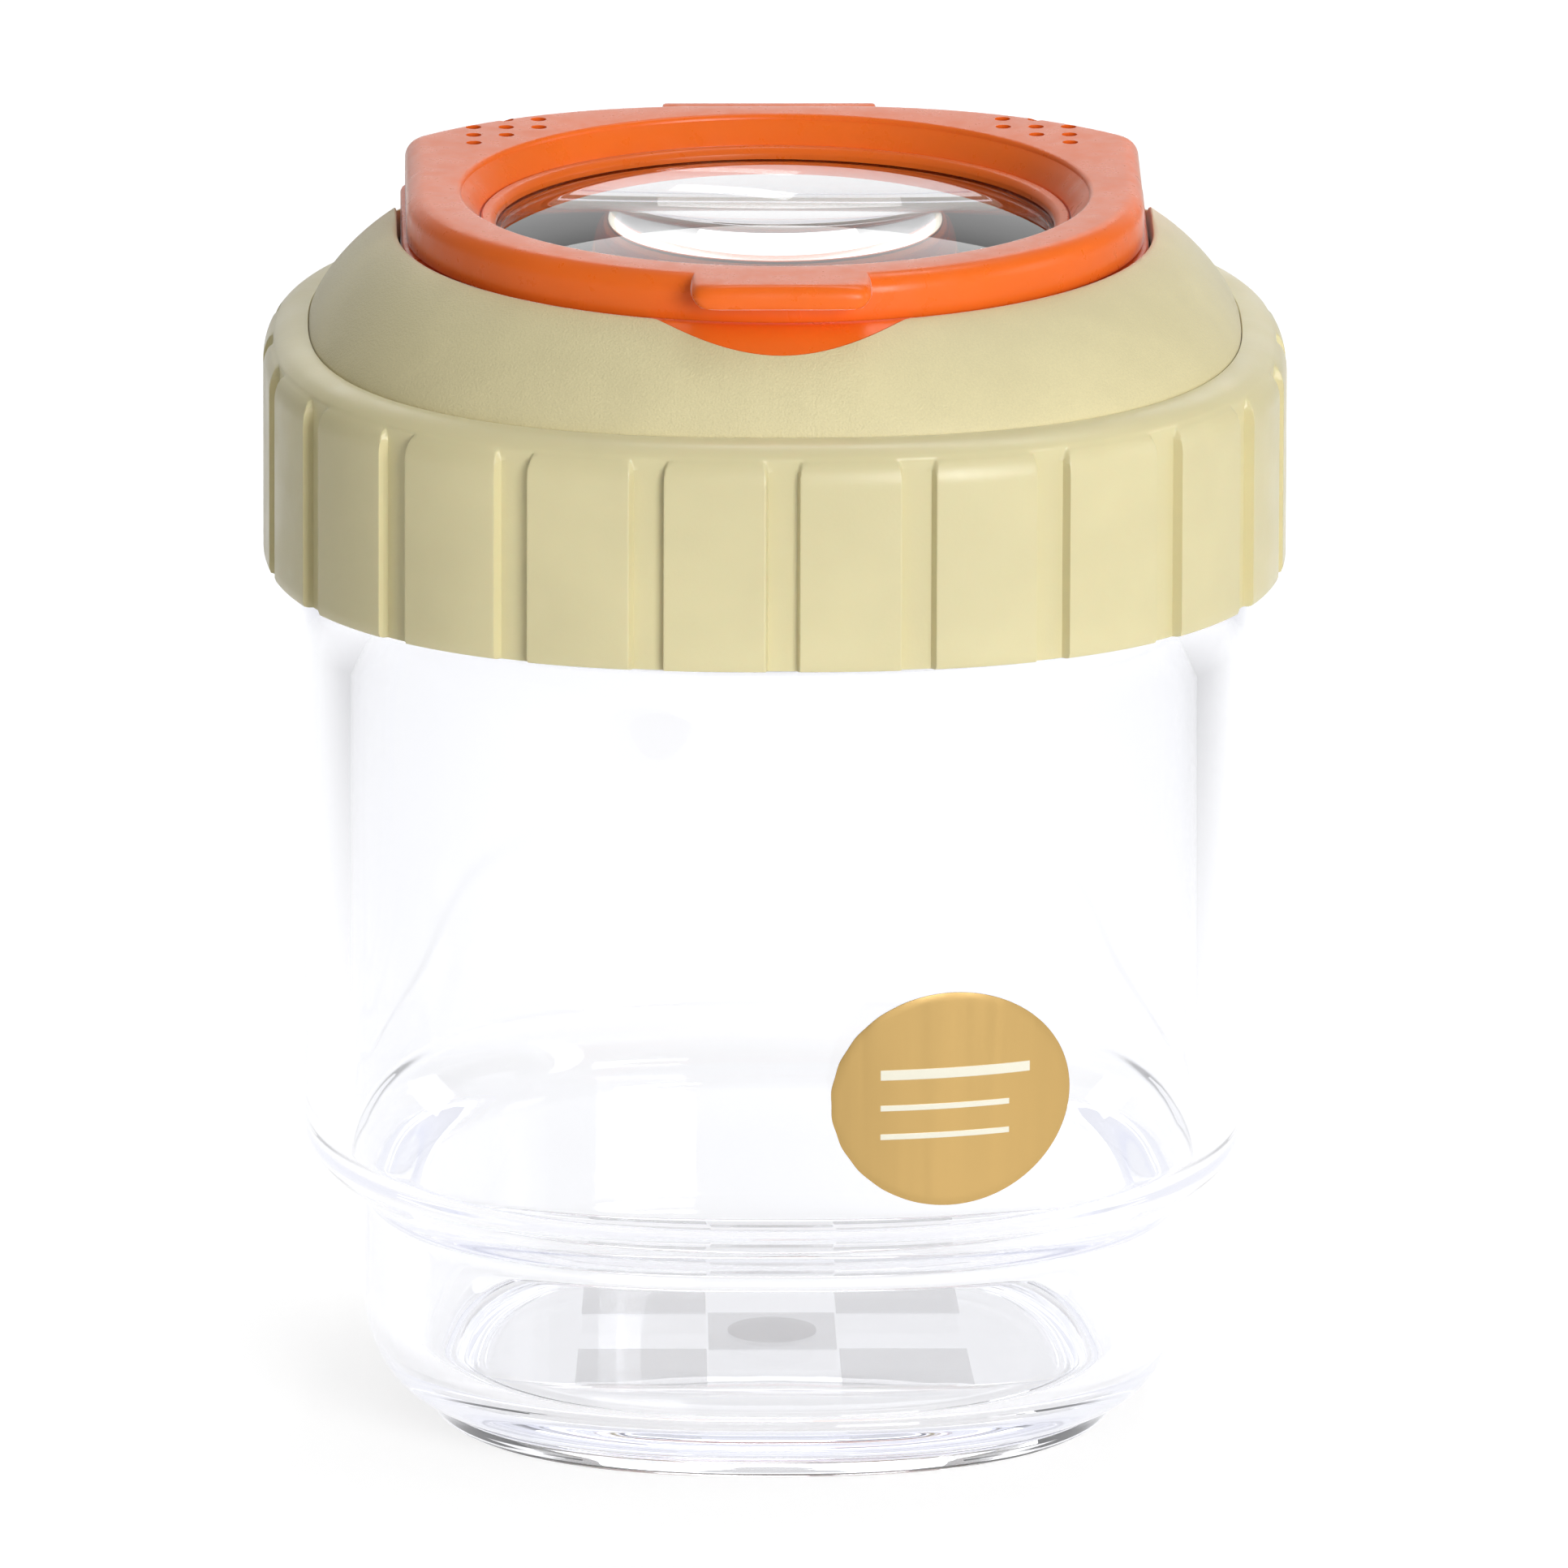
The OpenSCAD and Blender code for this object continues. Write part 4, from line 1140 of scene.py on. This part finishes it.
class VIEWJAR_OT_flip_cover(bpy.types.Operator):
    """Builds the orange flip cover with its thumb tab, lens recess, air holes and hinge barrel"""

    bl_idname = "viewjar.flip_cover"
    bl_label = "Flip Cover"

    def execute(self, context):
        s = context.scene.viewjar_cover
        t = cover_turns(288)
        low, top = COVER_WALL_Z, TOP_Z
        recess_top, recess_low = 27.65 * MM, 26.1 * MM
        keeper_top = UPPER_KEEPER[1]
        keeper_r = recess_low - 0.05 * MM
        seat_z = 104.55 * MM
        skirt_low = 103.35 * MM
        skirt_in, skirt_r = LENS_R - 0.9 * MM, 27.55 * MM
        loops = stack(
            cover_loop, t, (-0.1 * MM, low), (-0.03 * MM, low + 0.03 * MM),
            (0, low + 0.1 * MM), (0, low + 1.2 * MM),
        )
        for a in np.radians(np.linspace(0, 90, 12)):
            inset, rise = s.edge_r * (1 - math.cos(a)), s.edge_r * (1 - math.sin(a))
            loops.append(cover_loop(-inset, top - rise, t))
        loops += [cover_loop(-s.edge_r - 0.8 * MM, top, t)]
        for a in np.radians(np.linspace(90, 0, 6)):
            r = 0.45 * MM
            loops.append(round_loop(recess_top + r * (1 - math.cos(a)), top - r * (1 - math.sin(a)), t))
        for share in (0.25, 0.5, 0.75, 1.0):
            radius = recess_top + (recess_low - recess_top) * share**0.8
            loops.append(round_loop(radius, top - 0.45 * MM + (keeper_top - top + 0.45 * MM) * share, t))
        loops += stack(
            round_loop, t, (keeper_r, keeper_top - 0.1 * MM), (keeper_r, seat_z),
            (skirt_in + 0.2 * MM, seat_z), (skirt_in, seat_z - 0.2 * MM),
            (skirt_in, skirt_low + 0.2 * MM), (skirt_in + 0.2 * MM, skirt_low),
            (skirt_r - 0.2 * MM, skirt_low), (skirt_r, skirt_low + 0.2 * MM), (skirt_r, top - s.top_t),
        )
        loops += stack(cover_loop, t, (-s.wall, top - s.top_t), (-s.wall, low))
        cover = skin("flip_cover_shell", loops, closed=True)
        combine(cover, thumb_tab(s), "UNION")
        barrel = rod("hinge_barrel", s.barrel_r, s.barrel_w / 2, 0.3 * MM, (0, HINGE_Y, HINGE_Z))
        combine(cover, barrel, "UNION")
        web_low, web_high = HINGE_Z - s.barrel_r * 0.33, HINGE_Z + s.barrel_r * 0.8
        web = block(
            "hinge_web", (-s.barrel_w / 2 + 0.2 * MM, COVER_REAR - 1.2 * MM, web_low),
            (s.barrel_w / 2 - 0.2 * MM, HINGE_Y, web_high), 0.2 * MM,
        )
        combine(cover, web, "UNION")
        for side in (-1, 1):
            x = side * (s.barrel_w / 2 + EAR_GAP + EAR_W / 2)
            room = rod("ear_room", s.barrel_r - 0.02 * MM, 1.97 * MM, 0.05 * MM, (x, HINGE_Y, HINGE_Z))
            combine(cover, room, "DIFFERENCE")
        bore = rod("pin_room", PIN_R + 0.04 * MM, s.barrel_w / 2 + 2 * MM, 0.01 * MM, (0, HINGE_Y, HINGE_Z))
        combine(cover, bore, "DIFFERENCE")
        material = orange_plastic("orange_cover", tuple(s.orange), 0.007 * MM)
        air_holes(cover, material, low - 1 * MM, top + 1 * MM)
        dress(cover, material, "cover", "orange_plastic", "flip_cover")
        return {"FINISHED"}


def thumb_tab(s):
    """Thumb tab like a pillow: a straight lower edge, and a top whose flat part ends in an arc."""
    half, front, back = s.tab_w / 2, COVER_R + s.tab_out, LENS_R + 5.2 * MM
    a = np.linspace(0, math.pi, 61)

    def outline(inset, bow, power, z):
        """Loop round the front as a superellipse of a given power, then straight across the back."""
        x = (half - inset) * np.sign(np.cos(a)) * np.abs(np.cos(a)) ** (2 / power)
        depth = front - back - bow
        y = -back - depth * np.sin(a) ** (2 / power)
        return np.column_stack([x, y, np.full(len(a), z)])

    low = TOP_Z - s.tab_t
    loops = [outline(1.0 * MM, 0.5 * MM, 12, low), outline(0.7 * MM, 0.18 * MM, 11, low + 0.1 * MM)]
    loops += [outline(0.4 * MM, 0.03 * MM, 10, low + 0.35 * MM), outline(0.15 * MM, 0.0, 9, low + 0.7 * MM)]
    for turn in np.radians(np.linspace(0, 90, 12)):
        share = 1 - math.cos(turn)
        rise = 1.0 * MM + (s.tab_t - 1.0 * MM) * math.sin(turn)
        loops.append(outline(0.5 * MM * share, 1.0 * MM * share, 9 - 6.4 * share, low + rise))
    return skin("thumb_tab", loops, closed=False)


def lens_shape(name, z, rim_t, bulge):
    """Lens with a flat rim, as a turned skin with its poles closed."""
    ball = (LENS_R**2 + bulge**2) / (2 * bulge)
    t = turns(192)
    radii = LENS_R * np.linspace(0.02, 1, 40)
    rise = np.sqrt(ball**2 - radii**2) - (ball - bulge)
    loops = [round_loop(r, z - h, t) for r, h in zip(radii, rise)]
    edge, high = 0.1 * MM, z + rim_t
    loops += stack(
        round_loop, t, (RIM_R - edge, z), (RIM_R, z + edge), (RIM_R, high - edge), (RIM_R - edge, high)
    )
    loops += [round_loop(r, z + rim_t + h, t) for r, h in zip(radii[::-1], rise[::-1])]
    return settle(skin(name, loops, closed=False), 20)


class VIEWJAR_OT_lenses(bpy.types.Operator):
    """Builds the upper and the lower lens"""

    bl_idname = "viewjar.lenses"
    bl_label = "Lenses"

    def execute(self, context):
        s = context.scene.viewjar_lenses
        material = clear_plastic("lens_plastic", tuple(s.clear), 0.001 * MM)
        upper = lens_shape("upper_lens_glass", UPPER_LENS_Z, s.rim_t, s.upper_bulge)
        dress(upper, material, "cover", "lens_plastic", "upper_lens")
        lower = lens_shape("lower_lens_glass", LOWER_LENS_Z, s.rim_t, s.lower_bulge)
        dress(lower, material, "lower_lens", "lens_plastic", "lower_lens")
        return {"FINISHED"}


def keeper(name, low, high, outer):
    """Flat ring with a sloping inner edge, from its face against the lens to its free face."""
    up = MM if high > low else -MM
    loops = stack(
        round_loop, turns(192), (LENS_R, low), (outer - 0.05 * MM, low), (outer, low + up * 0.08),
        (outer, high - up * 0.15), (outer - 0.15 * MM, high), (LENS_R + 0.6 * MM, high),
        (LENS_R + 0.4 * MM, high - up * 0.08), (LENS_R + 0.03 * MM, high - up * 0.5),
        (LENS_R, high - up * 0.6),
    )
    return settle(skin(name, loops, closed=True), 30)


class VIEWJAR_OT_lens_rings(bpy.types.Operator):
    """Builds the rings that hold the two lenses in"""

    bl_idname = "viewjar.lens_rings"
    bl_label = "Lens Rings"

    def execute(self, context):
        orange = tuple(context.scene.viewjar_cover.orange)
        material = orange_plastic("orange_rings", tint(orange, 0.97), 0.006 * MM)
        upper = keeper("upper_keeper", *UPPER_KEEPER)
        dress(upper, material, "cover", "orange_plastic", "upper_lens_ring")
        lower = keeper("lower_keeper", *LOWER_KEEPER)
        dress(lower, material, "lid", "orange_plastic", "lower_lens_ring")
        return {"FINISHED"}


class VIEWJAR_OT_hinge_pin(bpy.types.Operator):
    """Builds the steel hinge pin"""

    bl_idname = "viewjar.hinge_pin"
    bl_label = "Hinge Pin"

    def execute(self, context):
        pin = rod("steel_pin", PIN_R, (PIN_HIGH.x - PIN_LOW.x) / 2, 0.2 * MM, (0, HINGE_Y, HINGE_Z), 40)
        settle(pin)
        dress(pin, pin_steel(), "lid", "steel", "hinge_pin")
        return {"FINISHED"}


class Backdrop(Wiring):
    """Node tree of the floor or the world, with a value for the rays that show the background."""

    def __init__(self, tree):
        tree.nodes.clear()
        super().__init__(tree)
        rays = self.add("ShaderNodeLightPath").outputs
        self.camera = rays["Is Camera Ray"]
        self.seen = self.math("MAXIMUM", self.camera, rays["Is Glossy Ray"])
        self.seen = self.math("MAXIMUM", self.seen, rays["Is Transmission Ray"])

    def place(self, output):
        return self.axes(self.add("ShaderNodeTexCoord").outputs[output])

    def panel(self, x, low, high, dim):
        """White panel behind the jar that ends at both sides, so that clear edges show the dim room there."""
        side = self.between(self.math("ABSOLUTE", x), low, high, 1.0, dim)
        return self.math("MAXIMUM", self.camera, side)


class VIEWJAR_OT_stage(bpy.types.Operator):
    """Sets up the floor, the soft lights, the world and the camera"""

    bl_idname = "viewjar.stage"
    bl_label = "Stage"

    def execute(self, context):
        s = context.scene.viewjar_stage
        scene = context.scene
        scene.view_settings.view_transform = "Standard"
        self.make_floor()
        self.make_world(scene)
        for name, place, size, power in LAMPS:
            self.make_lamp(scene, name, place, size, power)
        self.make_camera(scene, s)
        return {"FINISHED"}

    def make_floor(self):
        mesh = bpy.data.meshes.new("floor")
        corners = [(x * FLOOR_HALF, y * FLOOR_HALF, 0) for x, y in ((-1, -1), (1, -1), (1, 1), (-1, 1))]
        mesh.from_pydata(corners, [], [(0, 1, 2, 3)])
        floor = link(mesh, "floor")
        material = bpy.data.materials.new("floor_paper")
        material.use_nodes = True
        back = Backdrop(material.node_tree)
        # The paper is white behind the jar and ends in front of it, so that its front mirrors less light
        axes = back.place("Object")
        glow = back.between(axes["Y"], -0.4, -0.08, 0.1, 0.75)
        glow = back.math("MULTIPLY", glow, back.panel(axes["X"], 0.1, 0.35, 0.15))
        paper = back.add("ShaderNodeBsdfDiffuse")
        tone = back.add("ShaderNodeMix", {"Factor": back.seen}, data_type="RGBA")
        tone.inputs[6].default_value = (0.86, 0.86, 0.87, 1)
        tone.inputs[7].default_value = (0.5, 0.5, 0.5, 1)
        back.feed(paper.inputs["Color"], tone.outputs[2])
        light = back.add("ShaderNodeEmission", {"Strength": back.math("MULTIPLY", back.seen, glow)})
        both = back.add("ShaderNodeAddShader")
        back.feed(both.inputs[0], paper.outputs[0])
        back.feed(both.inputs[1], light.outputs[0])
        out = back.add("ShaderNodeOutputMaterial")
        back.feed(out.inputs[0], both.outputs[0])
        mesh.materials.append(material)

    def make_world(self, scene):
        world = bpy.data.worlds.new("soft_room")
        scene.world = world
        world.use_nodes = True
        back = Backdrop(world.node_tree)
        # White behind the jar, dim behind the camera and overhead, so that the plastic mirrors something dark
        axes = back.place("Generated")
        shown = back.between(axes["Y"], -0.3, 0.35, 0.25, 1.0)
        shown = back.math("MULTIPLY", shown, back.between(axes["Z"], 0.3, 0.6, 1.0, 0.2))
        shown = back.math("MULTIPLY", shown, back.panel(axes["X"], 0.3, 0.8, 0.15))
        strength = back.add("ShaderNodeMix", {"Factor": back.seen, "A": 0.34, "B": shown}).outputs[0]
        room = back.add("ShaderNodeBackground", {"Color": (1, 1, 1, 1), "Strength": strength})
        out = back.add("ShaderNodeOutputWorld")
        back.feed(out.inputs[0], room.outputs[0])

    def make_lamp(self, scene, name, place, size, power):
        data = bpy.data.lights.new(name, "AREA")
        data.shape = "RECTANGLE"
        data.size, data.size_y = size
        data.energy = power
        lamp = bpy.data.objects.new(name, data)
        lamp.location = place
        lamp.rotation_mode = "QUATERNION"
        lamp.rotation_quaternion = (Vector((0, 0, 0.06)) - Vector(place)).to_track_quat("-Z", "Y")
        scene.collection.objects.link(lamp)

    def make_camera(self, scene, s):
        data = bpy.data.cameras.new("camera")
        data.sensor_width = 36
        data.lens = 36 * s.distance / s.field
        data.clip_start, data.clip_end = 0.1, 30
        camera = bpy.data.objects.new("camera", data)
        e, a = math.radians(s.elevation), math.radians(s.azimuth)
        back = Vector((math.sin(a) * math.cos(e), -math.cos(a) * math.cos(e), math.sin(e)))
        target = Vector((s.target_x * math.cos(a), s.target_x * math.sin(a), s.target_z))
        camera.location = target + back * s.distance
        camera.rotation_mode = "QUATERNION"
        turn = (-back).to_track_quat("-Z", "Y").to_matrix() @ Matrix.Rotation(math.radians(s.roll), 3, "Z")
        camera.rotation_quaternion = turn.to_quaternion()
        scene.collection.objects.link(camera)
        scene.camera = camera


class VIEWJAR_PT_panel(bpy.types.Panel):
    """Lists the jar's settings and the operators that build its pieces"""

    bl_idname = "VIEWJAR_PT_panel"
    bl_label = "Viewing Jar"
    bl_space_type = "VIEW_3D"
    bl_region_type = "UI"
    bl_category = "Viewing Jar"

    def draw(self, context):
        for operator in OPERATORS:
            self.layout.operator(operator.bl_idname)
        for name, group in GROUPS.items():
            box = self.layout.box()
            box.label(text=group.__name__)
            for key in group.__annotations__:
                box.prop(getattr(context.scene, name), key)


GROUPS = {
    "viewjar_jar": JarSettings,
    "viewjar_squares": SquareSettings,
    "viewjar_label": LabelSettings,
    "viewjar_ring": RingSettings,
    "viewjar_dome": DomeSettings,
    "viewjar_cover": CoverSettings,
    "viewjar_lenses": LensSettings,
    "viewjar_stage": StageSettings,
}
OPERATORS = (
    VIEWJAR_OT_clear_jar,
    VIEWJAR_OT_measuring_squares,
    VIEWJAR_OT_label,
    VIEWJAR_OT_screw_ring,
    VIEWJAR_OT_dome,
    VIEWJAR_OT_lens_frame,
    VIEWJAR_OT_flip_cover,
    VIEWJAR_OT_lenses,
    VIEWJAR_OT_lens_rings,
    VIEWJAR_OT_hinge_pin,
    VIEWJAR_OT_stage,
)


def register():
    for group in GROUPS.values():
        bpy.utils.register_class(group)
    for operator in OPERATORS:
        bpy.utils.register_class(operator)
    bpy.utils.register_class(VIEWJAR_PT_panel)
    for name, group in GROUPS.items():
        setattr(bpy.types.Scene, name, PointerProperty(type=group))


def unregister():
    for name in GROUPS:
        delattr(bpy.types.Scene, name)
    bpy.utils.unregister_class(VIEWJAR_PT_panel)
    for operator in reversed(OPERATORS):
        bpy.utils.unregister_class(operator)
    for group in reversed(list(GROUPS.values())):
        bpy.utils.unregister_class(group)


def main():
    register()
    for operator in OPERATORS:
        family, name = operator.bl_idname.split(".")
        getattr(getattr(bpy.ops, family), name)()


if __name__ == "__main__":
    main()
